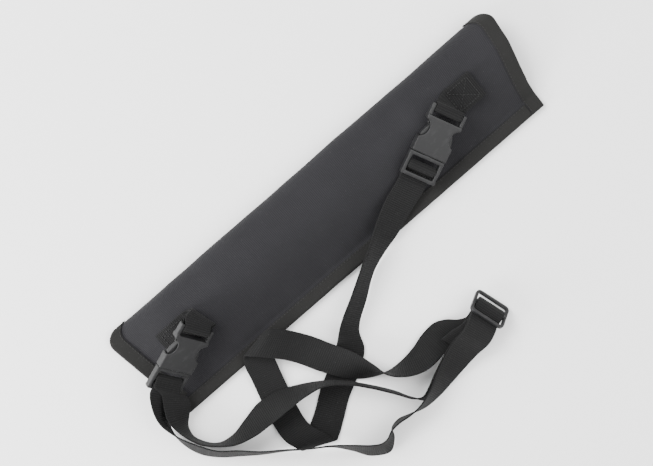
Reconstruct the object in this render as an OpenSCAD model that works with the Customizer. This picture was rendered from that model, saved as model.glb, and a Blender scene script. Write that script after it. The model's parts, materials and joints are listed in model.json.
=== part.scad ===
// Padded carry case for a telescope: a flat sleeve folded from one padded
// sheet, bound along its seam and ends, with a webbing shoulder strap held by
// two side-release buckles and shortened by one slider.
// +X runs towards the open mouth, +Y towards the folded edge, +Z is up.
// The case lies on its front, and the origin is the centre of its footprint.

/* [Case] */
// Length of the folded edge
fold_len = 500; // [420:5:600]
// Length of the sewn edge
seam_len = 465; // [400:5:560]
// Width of the case from the sewn edge to the folded edge
case_w = 110; // [95:1:135]
// Height of the case at its folded edge
fold_h = 26; // [24:1:34]
// How far the middle of the case bulges above the folded edge
crown = 4; // [2:0.5:8]
// Rounding of the two corners at the folded edge
corner_r = 15; // [8:1:25]
// How far the mouth's edge dips inwards near the sewn edge
mouth_dip = 2.5; // [0:0.5:6]

/* [Fabric] */
// Thickness of the outer fabric
cover_t = 1.2; // [0.8:0.1:1.6]
// Thickness of the foam
foam_t = 3.5; // [2:0.25:4]
// Thickness of the lining
lining_t = 0.8; // [0.5:0.1:1]
// Gap between layers of cloth
layer_gap = 0.2; // [0.15:0.05:0.3]
// Width of the binding tape that shows on each side of an edge
band_w = 13; // [10:0.5:16]
// Thickness of the binding tape
tape_t = 1; // [0.6:0.1:1.2]

/* [Webbing] */
// Width of the webbing
webbing_w = 30; // [25:1:31]
// Thickness of the webbing
webbing_t = 1.5; // [1:0.1:1.8]
// Length of each sewn anchor patch
patch_len = 36; // [30:1:44]

/* [Buckle] */
// Width of both buckle halves
buckle_w = 38; // [37:1:46]
// Length from the loop bar to the socket's open end
socket_len = 46; // [44:1:54]
// Length of the plug's frame outside the socket
frame_len = 25; // [24:1:30]
// Thickness of the socket
socket_t = 10; // [9:0.5:12]
// Thickness of the plug's frame and of the socket's loop end
frame_t = 7; // [6.5:0.5:8]
// Height of the cavity that takes the plug
cavity_h = 6; // [5:0.5:6]
// Thickness of each prong
prong_t = 5.2; // [4:0.1:5.4]

/* [Slider] */
// Length of the slider across the webbing
slider_w = 39; // [38:1:48]
// Length of the slider along the webbing
slider_len = 29; // [28:1:34]
// Thickness of the slider's bars
slider_t = 4; // [3:0.5:5]

/* [Hidden] */

fabric_colour = [0.26, 0.26, 0.28];
tape_colour = [0.2, 0.2, 0.19];
webbing_colour = [0.17, 0.17, 0.17];
plastic_colour = [0.29, 0.29, 0.3];
foam_colour = [0.5, 0.5, 0.5];
lining_colour = [0.15, 0.15, 0.16];
thread_colour = [0.1, 0.1, 0.1];

// ---- Shape of the padded sleeve ----
half_w = case_w / 2;
fold_r = fold_h / 2;
mean_len = (fold_len + seam_len) / 2;
skin_lift = tape_t + layer_gap;
pinch_h = 2 * (cover_t + lining_t + layer_gap) + layer_gap;
pinch_flat = band_w + 2;
swell_len = 60;
foam_rate = 2.5;
dip_span = 70;
lift_span = 20;

function limit(t) = max(0, min(1, t));
function rise(t) = sin(90 * limit(t));
function smooth(t) = let(c = limit(t)) c * c * (3 - 2 * c);
function mix(a, b, t) = a + (b - a) * t;

// Half the case's length at y, before its corners are rounded
function half_len(y) = mix(seam_len, fold_len, y / case_w + 0.5) / 2;
function corner_cut(y) =
    let(d = y - (half_w - corner_r))
    d > 0 ? corner_r - sqrt(max(0, corner_r * corner_r - d * d)) : 0;
function dip(y) = y + half_w < dip_span ? mouth_dip * sin(180 * (y + half_w) / dip_span) : 0;
function x_bottom(y) = -half_len(y) + corner_cut(y);
function x_mouth(y) = half_len(y) - corner_cut(y) - dip(y);
function x_at(u, y) = mix(x_bottom(y), x_mouth(y), u);

// Swelling of the sleeve away from its sewn edge and its sewn bottom end
function swell_end(u) = rise((u * mean_len - pinch_flat) / swell_len);
function swell_side(s) = rise((s - pinch_flat) / swell_len);
function swell(s, u) = swell_side(s) * swell_end(u);
function plump() = fold_h - pinch_h;
function height(s, u) =
    pinch_h + swell(s, u) * (plump() + crown * sin(180 * limit(s / (case_w - fold_r))));
function lift(s, u) =
    skin_lift * (1 - smooth((min(s, min(u, 1 - u) * mean_len) - band_w) / lift_span));
function roll_r(u) = (pinch_h + swell_end(u) * plump()) / 2;
function foam_part(s, u) = limit(foam_rate * swell(s, u));

// Depth of each face of the layers below the outer face
function depth(face, s, u) =
    face == "cover_out" ? 0 :
    face == "cover_in" ? cover_t :
    face == "foam_out" ? cover_t + layer_gap :
    face == "foam_in" ? cover_t + layer_gap + foam_t * foam_part(s, u) :
    face == "lining_out" ? cover_t + layer_gap + (foam_t + layer_gap) * foam_part(s, u) :
    face == "lining_in" ?
        cover_t + layer_gap + lining_t + (foam_t + layer_gap) * foam_part(s, u) :
    face == "tape_in" ? -layer_gap :
    face == "core" ? (pinch_h - layer_gap) / 2 :
    -layer_gap - tape_t;

// Stations round the section: along the underside, round the fold, back along the top;
// the hollow is first high enough for the tape's two inner legs at rim_start
rim_clear = 0.1;
function hollow_h(s) = height(s, 1) - 2 * depth("lining_in", s, 1);
rim_start = concat([for (s = [30:0.5:37]) if (hollow_h(s) > 2 * skin_lift + rim_clear) s], [37])[0];
flat_stops = [0, band_w, pinch_flat, 19, 24, rim_start, 38, 48, 64, 82];
fold_steps = 5;
n_flat = len(flat_stops) + 1;
n_round = 2 * n_flat + fold_steps;
function stop_at(k, u) = k < n_flat - 1 ? flat_stops[k] : case_w - roll_r(u);
function skin_point(u, k, face, dx) =
    k < n_flat ?
        let(s = stop_at(k, u), y = s - half_w)
        [x_at(u, y) + dx, y, lift(s, u) + depth(face, s, u)] :
    k < n_flat + fold_steps ?
        let(r = roll_r(u), a = -90 + 180 * (k - n_flat + 1) / (fold_steps + 1),
            ry = r - depth(face, case_w, u), y = half_w - r + ry * cos(a))
        [x_at(u, half_w - r + r * cos(a)) + dx, y, lift(case_w, u) + r + ry * sin(a)] :
        let(s = stop_at(n_round - 1 - k, u), y = s - half_w)
        [x_at(u, y) + dx, y, lift(s, u) + height(s, u) - depth(face, s, u)];

function skin_row(u, face, first, last, dx = 0) =
    [for (k = [first:last]) skin_point(u, k, face, dx)];

// Height of the cover's top face at a point of the plan
function top_z(x, y) =
    let(s = y + half_w, u = limit((x - x_bottom(y)) / (x_mouth(y) - x_bottom(y))))
    lift(s, u) + height(s, u);

// ---- Solids swept and lofted from rows of points ----
// Four corners as two triangles
function split(a, b, c, d) = [[a, b, c], [a, c, d]];

// Closed sheet between two grids of points with the same rows
module sheet(inner, outer) {
    m = len(inner);
    n = len(inner[0]);
    points = [for (g = [inner, outer], row = g, p = row) p];
    b = m * n;
    e = (m - 1) * n;
    faces = [
        for (i = [0:m - 2], j = [0:n - 2]) let(a = i * n + j)
            each split(a, a + 1, a + n + 1, a + n),
        for (i = [0:m - 2], j = [0:n - 2]) let(a = b + i * n + j)
            each split(a, a + n, a + n + 1, a + 1),
        for (j = [0:n - 2]) each split(j, b + j, b + j + 1, j + 1),
        for (j = [0:n - 2]) each split(e + j, e + j + 1, b + e + j + 1, b + e + j),
        for (i = [0:m - 2]) let(a = i * n) each split(a, a + n, b + a + n, b + a),
        for (i = [0:m - 2]) let(a = i * n + n - 1) each split(a, b + a, b + a + n, a + n)];
    polyhedron(points = points, faces = faces, convexity = 8);
}

// Solid through closed rings of points; a ring goes out along one side of a
// strip and back along the other, so its end is closed across the strip
module loft(rings) {
    m = len(rings);
    n = len(rings[0]);
    points = [for (ring = rings, p = ring) p];
    e = (m - 1) * n;
    faces = [
        for (i = [0:m - 2], j = [0:n - 1]) let(a = i * n + j, c = i * n + (j + 1) % n)
            each (j < n / 2 ? split(a, a + n, c + n, c) : split(a + n, c + n, c, a)),
        for (j = [0:n / 2 - 2]) each split(j, j + 1, n - 2 - j, n - 1 - j),
        for (j = [0:n / 2 - 2])
            each split(e + j, e + n - 1 - j, e + n - 2 - j, e + j + 1)];
    polyhedron(points = points, faces = faces, convexity = 8);
}

// Steps along the case, from the bottom end (0) to the mouth (1)
band_u = band_w / mean_len;
rim_gap = 3;
along = [0, band_u, pinch_flat / mean_len, 0.045, 0.065, 0.09, 0.12, 0.16, 0.25, 0.4,
    0.55, 0.7, 0.85, 0.93, 1 - band_u, 1];
foam_from = 3;

module layer(outer_face, inner_face, steps, first, last) {
    sheet([for (u = steps) skin_row(u, inner_face, first, last)],
        [for (u = steps) skin_row(u, outer_face, first, last)]);
}

module outer_cover() {
    color(fabric_colour) layer("cover_out", "cover_in", along, 0, n_round - 1);
}

module foam_padding() {
    foam_steps = [for (i = [foam_from:len(along) - 2]) along[i], 1 - rim_gap / mean_len];
    color(foam_colour)
        layer("foam_out", "foam_in", foam_steps, foam_from, n_round - 1 - foam_from);
}

module lining() {
    color(lining_colour) layer("lining_out", "lining_in", along, 0, n_round - 1);
}

// ---- Binding tapes ----
// U-shaped tape section over the sewn edge, at step u along the case
function side_section(u) =
    let(y = -half_w, wrap = skin_lift, top = skin_lift + pinch_h, x = x_at(u, y))
    [[x, y + band_w - 1, 0], [x, y - wrap, 0], [x, y - wrap, top + wrap],
        [x, y + band_w - 1, top + wrap], [x, y + band_w - 1, top + layer_gap],
        [x, y - layer_gap, top + layer_gap], [x, y - layer_gap, tape_t],
        [x, y + band_w - 1, tape_t]];

module side_binding() {
    steps = [for (u = along) min(u, 1 - band_u - 0.001)];
    color(tape_colour) loft([for (i = [len(along) - 2:-1:0]) side_section(steps[i])]);
}

// Tape folded over the rim at an open end: outer leg, edge and inner leg
edge_gap = 1.2;
edge_out = edge_gap + tape_t;
function rim_leg(k) =
    let(s = k < n_flat ? stop_at(k, 1) : k < n_flat + fold_steps ? case_w :
        stop_at(n_round - 1 - k, 1))
    mix(1, band_w - 1, smooth((s - 28) / 12));
function rim_section(k) =
    let(ub = 1 - band_u, ui = 1 - rim_leg(k) / mean_len)
    [skin_point(ub, k, "tape_out", 0), skin_point(1, k, "tape_out", edge_out),
        skin_inside(1, k, skin_lift, edge_out), skin_inside(ui, k, skin_lift, 0),
        skin_inside(ui, k, layer_gap, 0), skin_inside(1, k, layer_gap, edge_gap),
        skin_point(1, k, "tape_in", edge_gap), skin_point(ub, k, "tape_in", 0)];
// Point that stands off the lining's inner face by gap, into the hollow
function skin_inside(u, k, gap, dx) =
    let(a = skin_point(u, k, "cover_out", dx), b = skin_point(u, k, "lining_in", dx),
        n = (b - a) / norm(b - a))
    b + n * gap;

// Tape round the closed corner where the mouth meets the sewn edge
function corner_section(s) =
    let(y = s - half_w, top = lift(s, 1) + height(s, 1), x0 = x_at(1 - band_u, y),
        x1 = x_at(1, y))
    [[x0, y, 0], [x1 + edge_out, y, 0], [x1 + edge_out, y, top + skin_lift],
        [x0, y, top + skin_lift], [x0, y, top + layer_gap], [x1 + edge_gap, y, top + layer_gap],
        [x1 + edge_gap, y, tape_t], [x0, y, tape_t]];

corner_start = 0.3;
module mouth_binding() {
    first = 5;
    color(tape_colour) {
        loft([for (k = [n_round - 1 - first:-1:first]) rim_section(k)]);
        loft([for (s = [flat_stops[first] - 0.1, 24, 19, pinch_flat, band_w, -corner_start])
            corner_section(s)]);
        translate([x_at(1 - band_u, -half_w), -half_w - skin_lift, 0])
            cube([x_at(1, -half_w) - x_at(1 - band_u, -half_w) + edge_out,
                skin_lift - corner_start - 0.1, pinch_h + 2 * skin_lift]);
    }
}

// Tape over the closed bottom end, from beside the sewn edge round the fold
function end_section(k) = [
    skin_point(band_u, k, "tape_out", 0), skin_point(0, k, "tape_out", -edge_out),
    skin_point(0, k, "core", -edge_out), skin_point(0, k, "core", -edge_gap),
    skin_point(0, k, "tape_in", -edge_gap), skin_point(band_u, k, "tape_in", 0)];

module bottom_binding() {
    first = 2;
    color(tape_colour) loft([for (k = [first:n_round - 1 - first]) end_section(k)]);
}

// ---- Webbing ----
// A row is [x, y, z, azimuth, elevation, half width]: the middle of the
// webbing, the way its width points, and half the width shown along that way
function aim(az, el) = [cos(el) * cos(az), cos(el) * sin(az), sin(el)];
function row_at(rows, i) = rows[max(0, min(len(rows) - 1, i))];
function middle(row) = [row[0], row[1], row[2]];
function strap_face(rows, i) =
    let(t = middle(row_at(rows, i + 1)) - middle(row_at(rows, i - 1)),
        n = cross(t, aim(rows[i][3], rows[i][4])))
    n / norm(n);
function strap_rings(rows, first, last) = [
    for (i = [first:last])
        let(m = middle(rows[i]), w = aim(rows[i][3], rows[i][4]) * rows[i][5],
            n = strap_face(rows, i) * webbing_t / 2)
        [m - w - n, m + w - n, m + w + n, m - w + n]];
// Webbing along part of a route, from row first to row last
module webbing(rows, first, last) {
    color(webbing_colour) loft(strap_rings(rows, first, last));
}

// ---- Places of the buckles and the slider ----
// A place is [position, yaw, pitch, roll]; its x axis runs from the loop bar
// towards the plug, its z axis is the buckle's upper side
bar_r = 2.5;
wrap_gap = 0.3;
loop_r = bar_r + wrap_gap + webbing_t / 2;
upper_xy = [153.3, 0.5];
lower_xy = [-170.7, 2.1];
upper_rest = 10.5;
lower_rest = 18;
UPPER = [[upper_xy[0], upper_xy[1], top_z(upper_xy[0], upper_xy[1]) + upper_rest], 203.3, 9, -19];
LOWER = [[lower_xy[0], lower_xy[1], top_z(lower_xy[0], lower_xy[1]) + lower_rest], 199, 15, -38];
SLIDER = [[59.5, -173, 13.3], 23, 42, 10];

module at_place(place) {
    translate(place[0]) rotate([0, 0, place[1]]) rotate([0, place[2], 0])
        rotate([place[3], 0, 0]) children();
}
function turn_x(p, a) = [p[0], p[1] * cos(a) - p[2] * sin(a), p[1] * sin(a) + p[2] * cos(a)];
function turn_y(p, a) = [p[0] * cos(a) + p[2] * sin(a), p[1], p[2] * cos(a) - p[0] * sin(a)];
function turn_z(p, a) = [p[0] * cos(a) - p[1] * sin(a), p[0] * sin(a) + p[1] * cos(a), p[2]];
function turned(place, p) = turn_z(turn_y(turn_x(p, place[3]), place[2]), place[1]);
// Row of webbing at [x, z] in a place's own axes; side is the way its width points
function placed_row(place, q, side) =
    let(m = place[0] + turned(place, [q[0], 0, q[1]]), w = turned(place, [0, side, 0]))
    [m[0], m[1], m[2], atan2(w[1], w[0]), asin(w[2]), webbing_w / 2];
function placed_rows(place, path, side) = [for (q = path) placed_row(place, q, side)];
function arc(r, from, to, steps, cx = 0) =
    [for (i = [0:steps]) let(a = mix(from, to, i / steps)) [cx + r * cos(a), r * sin(a)]];

// ---- Buckle halves, in the buckle's own axes ----
arm_w = (buckle_w - webbing_w) / 2 - 0.5;
slot_x = 8;
tail_x = 4;
collar_len = 15;
collar_x = socket_len - collar_len;
wall_w = 4.5;
waist_w = 24;
cavity_x = 14;
prong_y = 11;
prong_w = 3;
barb_y = 17.5;
root_x = socket_len - 1;
frame_gap = 0.3;

module centred_box(x0, x1, w, t) {
    translate([x0, -w / 2, -t / 2]) cube([x1 - x0, w, t]);
}

module socket() {
    window_r = (socket_len - collar_len - cavity_x + 3) / 2;
    window_x = collar_x - window_r + 0.5;
    difference() {
        union() {
            centred_box(slot_x, socket_len, buckle_w, socket_t);
            for (side = [-1, 1])
                translate([-tail_x, side * (buckle_w - arm_w) / 2 - arm_w / 2, -frame_t / 2])
                    cube([slot_x + tail_x + 1, arm_w, frame_t]);
            rotate([90, 0, 0]) cylinder(r = bar_r, h = buckle_w - arm_w, center = true, $fn = 32);
        }
        centred_box(cavity_x, socket_len + 1, buckle_w - 2 * wall_w, cavity_h);
        for (side = [-1, 1])
            translate([window_x, side * (waist_w / 2 + window_r), 0])
                cylinder(r = window_r, h = socket_t + 1, center = true, $fn = 48);
        for (side = [-1, 1])
            translate([cavity_x, side > 0 ? waist_w / 2 - 1 : -buckle_w / 2 - 1, -cavity_h / 2])
                cube([collar_x - cavity_x, (buckle_w - waist_w) / 2 + 2, cavity_h]);
    }
}

window_y = buckle_w - 2 * arm_w;
frame_x = socket_len + frame_gap;
end_x = frame_x + frame_len;
root_bar = 4;
centre_x = frame_x + root_bar + (frame_len - root_bar - 4) / 2;
tongue_w = 7;
module plug_frame() {
    difference() {
        centred_box(frame_x, end_x, buckle_w, frame_t);
        centred_box(frame_x + root_bar, end_x - 4, window_y, frame_t + 1);
    }
    translate([centre_x, 0, 0]) rotate([90, 0, 0])
        cylinder(r = bar_r, h = window_y + 1, center = true, $fn = 32);
    centred_box(collar_x, frame_x + 1, tongue_w, cavity_h - 1);
}

// Springy prong; side is 1 or -1
module prong(side) {
    tip_x = cavity_x + 2;
    heel_x = collar_x - 0.4;
    scale([1, side, 1]) translate([0, 0, -prong_t / 2]) linear_extrude(prong_t)
        polygon([[root_x, prong_y - prong_w / 2], [root_x, prong_y + prong_w / 2],
            [heel_x, prong_y + prong_w / 2], [heel_x, barb_y - 0.5],
            [heel_x - 2, barb_y], [tip_x + 5, prong_y + 4], [tip_x, prong_y + 1],
            [tip_x, prong_y - 1], [tip_x + 3, prong_y - prong_w / 2]]);
}

module upper_buckle_socket() { color(plastic_colour) at_place(UPPER) socket(); }
module upper_buckle_frame() { color(plastic_colour) at_place(UPPER) plug_frame(); }
module upper_prong_left() { color(plastic_colour) at_place(UPPER) prong(1); }
module upper_prong_right() { color(plastic_colour) at_place(UPPER) prong(-1); }
module lower_buckle_socket() { color(plastic_colour) at_place(LOWER) socket(); }
module lower_buckle_frame() { color(plastic_colour) at_place(LOWER) plug_frame(); }
module lower_prong_left() { color(plastic_colour) at_place(LOWER) prong(1); }
module lower_prong_right() { color(plastic_colour) at_place(LOWER) prong(-1); }

// ---- Slider ----
side_bar = 3;
slider_bar_r = 2.2;
module strap_slider() {
    color(plastic_colour) at_place(SLIDER) {
        difference() {
            rounded_plate(slider_len, slider_w, slider_t, 5);
            rounded_plate(slider_len - 2 * side_bar, slider_w - 2 * side_bar, slider_t + 1, 2);
        }
        rotate([90, 0, 0])
            cylinder(r = slider_bar_r, h = slider_w - side_bar, center = true, $fn = 32);
    }
}
module rounded_plate(l, w, t, r) {
    centred_box(-l / 2 + r, l / 2 - r, w, t);
    centred_box(-l / 2, l / 2, w - 2 * r, t);
    for (sx = [-1, 1], sy = [-1, 1])
        translate([sx * (l / 2 - r), sy * (w / 2 - r), 0])
            cylinder(r = r, h = t, center = true, $fn = 32);
}

// ---- Anchor tabs ----
patch_gap = 0.6;
layer_step = webbing_t + layer_gap;
upper_patch_x = 159;
upper_patch_y = 4.5;
lower_patch_x = -171;
lower_patch_y = 9;
patch_tilt = 12;
patch_clear = 0.5;
// How far the cover under a tilted patch's edges stands above its middle
function patch_rise(x, y, tilt) = max([for (w = [-webbing_w / 2, webbing_w / 2])
    top_z(x, y + w * cos(tilt)) - top_z(x, y) - w * sin(tilt)]);
function patch_z(x, y, tilt) =
    top_z(x, y) + max(patch_gap, patch_rise(x, y, tilt) + patch_clear);
function patch_row(x, y, layers, tilt) =
    [x, y, patch_z(x, y, tilt) + webbing_t / 2 + layers * layer_step, 90, tilt, webbing_w / 2];
upper_patch = [for (i = [0:2]) upper_patch_x + patch_len * (1 - i / 2)];
upper_under = [for (x = upper_patch) patch_row(x, upper_patch_y, 0, patch_tilt)];
over_start = 3.5;
upper_over = [for (x = [upper_patch_x + over_start, upper_patch[1], upper_patch[0]])
    patch_row(x, upper_patch_y, 1, patch_tilt)];
upper_turn = placed_rows(UPPER,
    concat([[-2.6, -5.2]], arc(loop_r, -100, 100, 6), [[-4.8, 1], [-5.9, -2.6]]), -1);
function between(a, b, steps) = [for (i = [1:steps]) mix(a, b, i / (steps + 1))];
UPPER_TAB = concat(upper_under, between(upper_under[2], upper_turn[0], 1), upper_turn,
    between(upper_turn[len(upper_turn) - 1], upper_over[0], 2), upper_over);
module upper_anchor_tab() { webbing(UPPER_TAB, 0, len(UPPER_TAB) - 1); }

lower_patch = [for (i = [0:2]) lower_patch_x - patch_len * (1 - i / 2)];
lower_tilt = 6;
lower_z = patch_z(lower_patch_x, lower_patch_y, lower_tilt) - patch_gap;
turn_out = [[-162, 7.5, 1.5], [-157.5, 6.8, 6], [-157.5, 6.8, 13], [-162.6, 6.8, 18.3]];
turn_in = [[-164.5, 7.4, 15.6], [-159.7, 6.9, 11.5], [-159.7, 6.8, 6.5], [-163.5, 7.5, 3.7]];
function turn_row(p, az, el) = [p[0], p[1], lower_z + p[2], az, el, webbing_w / 2];
LOWER_TAB = concat(
    [for (x = lower_patch) patch_row(x, lower_patch_y, 0, lower_tilt)],
    [for (i = [0:3]) turn_row(turn_out[i], 95 + 6 * i, 10 + 7 * i)],
    placed_rows(LOWER, arc(loop_r, 110, -110, 6), -1),
    [for (i = [0:3]) turn_row(turn_in[i], 113 - 6 * i, 31 - 7 * i)],
    [for (i = [2:-1:0]) patch_row(lower_patch[i], lower_patch_y, 1, lower_tilt)]);
module lower_anchor_tab() { webbing(LOWER_TAB, 0, len(LOWER_TAB) - 1); }

// Box stitch with a cross, lying on a patch
thread_r = 0.4;
stitch_in = 5.5;
module stitched_box(x0, y0, tilt) {
    l = patch_len - 2 * stitch_in;
    w = webbing_w - 2 * stitch_in;
    z = patch_z(x0, y0, tilt) + 2 * layer_step + thread_r;
    slope = atan2(top_z(x0 + l / 2, y0) - top_z(x0 - l / 2, y0), l);
    color(thread_colour) translate([x0, y0, z]) rotate([tilt, -slope, 0]) {
        for (side = [-1, 1]) {
            translate([-l / 2, side * w / 2 - thread_r, -thread_r]) cube([l, 2 * thread_r, 2 * thread_r]);
            translate([side * l / 2 - thread_r, -w / 2, -thread_r]) cube([2 * thread_r, w, 2 * thread_r]);
            rotate([0, 0, side * atan2(w, l)]) translate([-norm([l, w]) / 2, -thread_r, -thread_r])
                cube([norm([l, w]), 2 * thread_r, 2 * thread_r]);
        }
    }
}
module upper_tab_stitching() {
    stitched_box(upper_patch_x + patch_len / 2, upper_patch_y, patch_tilt);
}
module lower_tab_stitching() { stitched_box(lower_patch_x - patch_len / 2, lower_patch_y, lower_tilt); }

// ---- Shoulder strap, laid as [x, y, z, azimuth, elevation, half width] ----
bend_gap = 0.8;
under_z = -(frame_t / 2 + bend_gap + webbing_t / 2);
tail_z = under_z - webbing_t - wrap_gap;
UPPER_LOOP = placed_rows(UPPER, concat(
    [[end_x + 4, tail_z], [end_x - 4, tail_z], [centre_x + 3, -loop_r - 2]],
    arc(loop_r, -90, -270, 6, centre_x),
    [[centre_x + 3.8, 2.2], [centre_x + 5.8, -1.5], [centre_x + 7.6, under_z + 0.2],
        [end_x - 2, under_z], [end_x + 6, under_z]]), -1);
CROSSING = [
    [58, -36, 18, 114, 24, 15], [35, -46, 16.8, 117, 36, 15], [14, -55, 15.8, 116, 56, 15],
    [-2, -62, 15, 116, 62, 15], [-30, -79, 14.5, 122, 58, 15], [-58, -97, 12.5, 122, 48, 15],
    [-69, -111, 6.8, 130, 20, 15], [-88, -124, 2, 121, 4, 15], [-111, -136, 1, 120, 0, 15],
    [-130, -149, 1, 125, 0, 15], [-148, -160, 1.2, 138, 0, 16], [-157, -165, 4, 156, 0, 17],
    [-160, -157, 7.2, 167, 0, 16], [-165, -143, 6, 173, 0, 15], [-163, -118, 2.5, 170, 0, 15],
    [-157, -96, 2.5, 165, 0, 15], [-151, -76, 6, 163, 0, 15], [-146, -60, 10, 170, 0, 15.5],
    [-141, -50, 12.5, 182, 0, 16.2], [-138, -46, 17, 189, 0, 16.5], [-133, -49, 21.5, 196, 0, 16.3],
    [-124, -58, 19.5, 205, 0, 15.5], [-114, -70, 14.5, 208, 0, 15], [-106, -82, 11.5, 207, 0, 15],
    [-95, -102, 12, 206, -3, 15], [-81, -125, 13, 211, -25, 15], [-69, -143, 14.5, 213, -60, 15],
    [-59, -154, 16, 218, -90, 15], [-42, -162, 15, 244, -120, 15], [-25, -165, 12, 259, -146, 15],
    [-4, -163, 7, 276, -168, 15], [12, -163, 3.5, 278, -178, 15], [24, -168, 5, 282, -182, 15],
    [34, -175, 7.5, 287, -186, 15]];
// Webbing through the slider: outer pass of the strap, inner pass of its sewn end
wide_r = slider_bar_r + wrap_gap + webbing_t / 2 + layer_step;
tight_r = wide_r - layer_step;
OUTER_PASS = placed_rows(SLIDER, concat(
    [[-18, -3.2], [-12.1, -3.5], [-10.8, -2.9], [-6.5, 0.95], [-4.6, 3], [-2.2, 4.6]],
    arc(wide_r, 90, -90, 4), [[-5, -7.2], [-9, -10.5], [-12, -14.5]]), 1);
INNER_PASS = placed_rows(SLIDER, concat(
    [[-18, -5.6], [-12.4, -5.3], [-10.1, -4.5], [-4.6, 0.5], [-3, 1.9], [-1.4, 2.95]],
    arc(tight_r, 90, -90, 4), [[-5, -4.9], [-12.4, -7.4], [-18, -9]]), 1);
// Both runs that go back from the slider, and their loop on the lower plug
LOWER_LOOP = placed_rows(LOWER, concat(
    [[centre_x + 7, 6.5], [centre_x + 4.5, 5.1]], arc(loop_r, 90, 270, 6, centre_x),
    [[centre_x + 3.2, -2.9], [centre_x + 4.8, 0], [centre_x + 6.3, 3.7],
        [end_x - 3.4, 4.9], [end_x + 2, 4.9]]), -1);
OUTER_RUN = [
    [32, -184, 24, 110, 14, 15], [16, -186, 19.5, 108, 24, 15], [-1, -190, 15.6, 108, 35, 15],
    [-19, -195, 15, 107, 49, 15], [-37, -200, 16, 103, 63, 15], [-54, -202, 16.2, 92, 75, 15],
    [-69, -200, 16, 84, 86, 15], [-82, -197.5, 16, 85, 90, 15], [-92, -199.5, 16, 108, 86, 15],
    [-98, -205, 16, 128, 74, 15], [-107, -209, 14.5, 95, 60, 15], [-119, -203, 15, 60, 62, 15],
    [-132, -188, 17.5, 42, 72, 15], [-146, -172.5, 24, 44, 80, 15], [-165, -159, 25.8, 52, 82, 15],
    [-185, -145, 19, 56, 80, 15], [-205, -131.5, 16, 56, 77, 15], [-221, -118, 16, 52, 72, 15],
    [-237, -105, 16, 44, 71, 15], [-247.9, -90.7, 16, 30, 68, 15],
    [-254.6, -75.4, 16, 10, 73, 15], [-257.5, -60, 17, -8, 84, 15],
    [-256, -46, 19.5, -24, 101, 15], [-248, -34, 24.5, -42, 124, 15]];
// Rows of a route moved square to its face by a gap
function beneath(rows, first, last, gap) = [
    for (i = [first:last]) let(m = middle(rows[i]) + strap_face(rows, i) * gap)
        [m[0], m[1], m[2], rows[i][3], rows[i][4], rows[i][5]]];
run_gap = webbing_t + 1;
INNER_RUN = concat(beneath(concat([OUTER_PASS[0]], OUTER_RUN), 1, 5, run_gap), [
    [-46, -198, 15.2, 92, 72, 15], [-55, -190, 16, 50, 86, 15],
    [-65, -174, 16, 36, 90, 15], [-80, -153, 17, 39, 90, 15], [-96, -134, 18.8, 46, 91, 15],
    [-112, -121, 18.5, 58, 95, 15], [-131, -113, 17.5, 70, 110, 15],
    [-152, -107.5, 16, 79, 130, 15], [-176, -105, 13.5, 86, 142, 15],
    [-198, -106, 13.6, 88, 125, 15], [-217, -104.5, 15.8, 78, 104, 15],
    [-231.4, -97.7, 16, 56, 89, 15], [-241.9, -86.6, 16, 32, 89, 15],
    [-246.7, -75.5, 16, 10, 91, 15], [-247, -64, 16.6, -12, 104, 15],
    [-243.6, -53.5, 19.3, -28, 127, 15], [-236.7, -43.6, 22, -39, 146, 15],
    [-231, -34, 25, -50, 147, 15]]);
TAIL = [[34, -179, 17.5, 112, 9, 15], [22, -178, 13, 111, 8, 15], [9, -178, 9.5, 110, 8, 15]];

// The whole strap is one route, from its end on the upper plug to its sewn end
function reversed(rows) = [for (i = [len(rows) - 1:-1:0]) rows[i]];
STRAP = concat(UPPER_LOOP, CROSSING, reversed(OUTER_PASS), OUTER_RUN, reversed(LOWER_LOOP),
    reversed(INNER_RUN), INNER_PASS, TAIL);
BACK = reversed(STRAP);
function back(i) = len(STRAP) - 1 - i;
loop_end = len(UPPER_LOOP) - 1;
lead_end = loop_end + 2;
fold_at = loop_end + 13;
dip_at = loop_end + 31;
pass_in = loop_end + 1 + len(CROSSING);
pass_out = pass_in + len(OUTER_PASS) - 1;
lower_in = pass_out + 1 + len(OUTER_RUN);
lower_out = lower_in + len(LOWER_LOOP) - 1;
return_in = lower_out + 1 + len(INNER_RUN);
return_out = return_in + len(INNER_PASS) - 1;
back_rows = 2;
lead_rows = 3;
module upper_strap_loop() { webbing(STRAP, 0, loop_end); }
module upper_strap_lead() { webbing(STRAP, loop_end, lead_end); }
module strap_crossing_run() { webbing(STRAP, lead_end, fold_at); }
module strap_long_run() { webbing(STRAP, fold_at, dip_at); }
module slider_lead() { webbing(STRAP, dip_at, pass_in); }
module slider_webbing() {
    webbing(STRAP, pass_in, pass_out);
    webbing(STRAP, return_in, return_out);
}
module slider_return_lead() {
    webbing(STRAP, pass_out, pass_out + back_rows);
    webbing(BACK, back(return_in), back(return_in - back_rows));
}
module strap_outer_run() { webbing(STRAP, pass_out + back_rows, lower_in - lead_rows); }
module strap_inner_run() { webbing(BACK, back(return_in - back_rows), back(lower_out + lead_rows)); }
module lower_strap_lead() {
    webbing(STRAP, lower_in - lead_rows, lower_in);
    webbing(BACK, back(lower_out + lead_rows), back(lower_out));
}
module lower_strap_loop() { webbing(STRAP, lower_in, lower_out); }
module strap_sewn_end() { webbing(STRAP, return_out, len(STRAP) - 1); }

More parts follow.
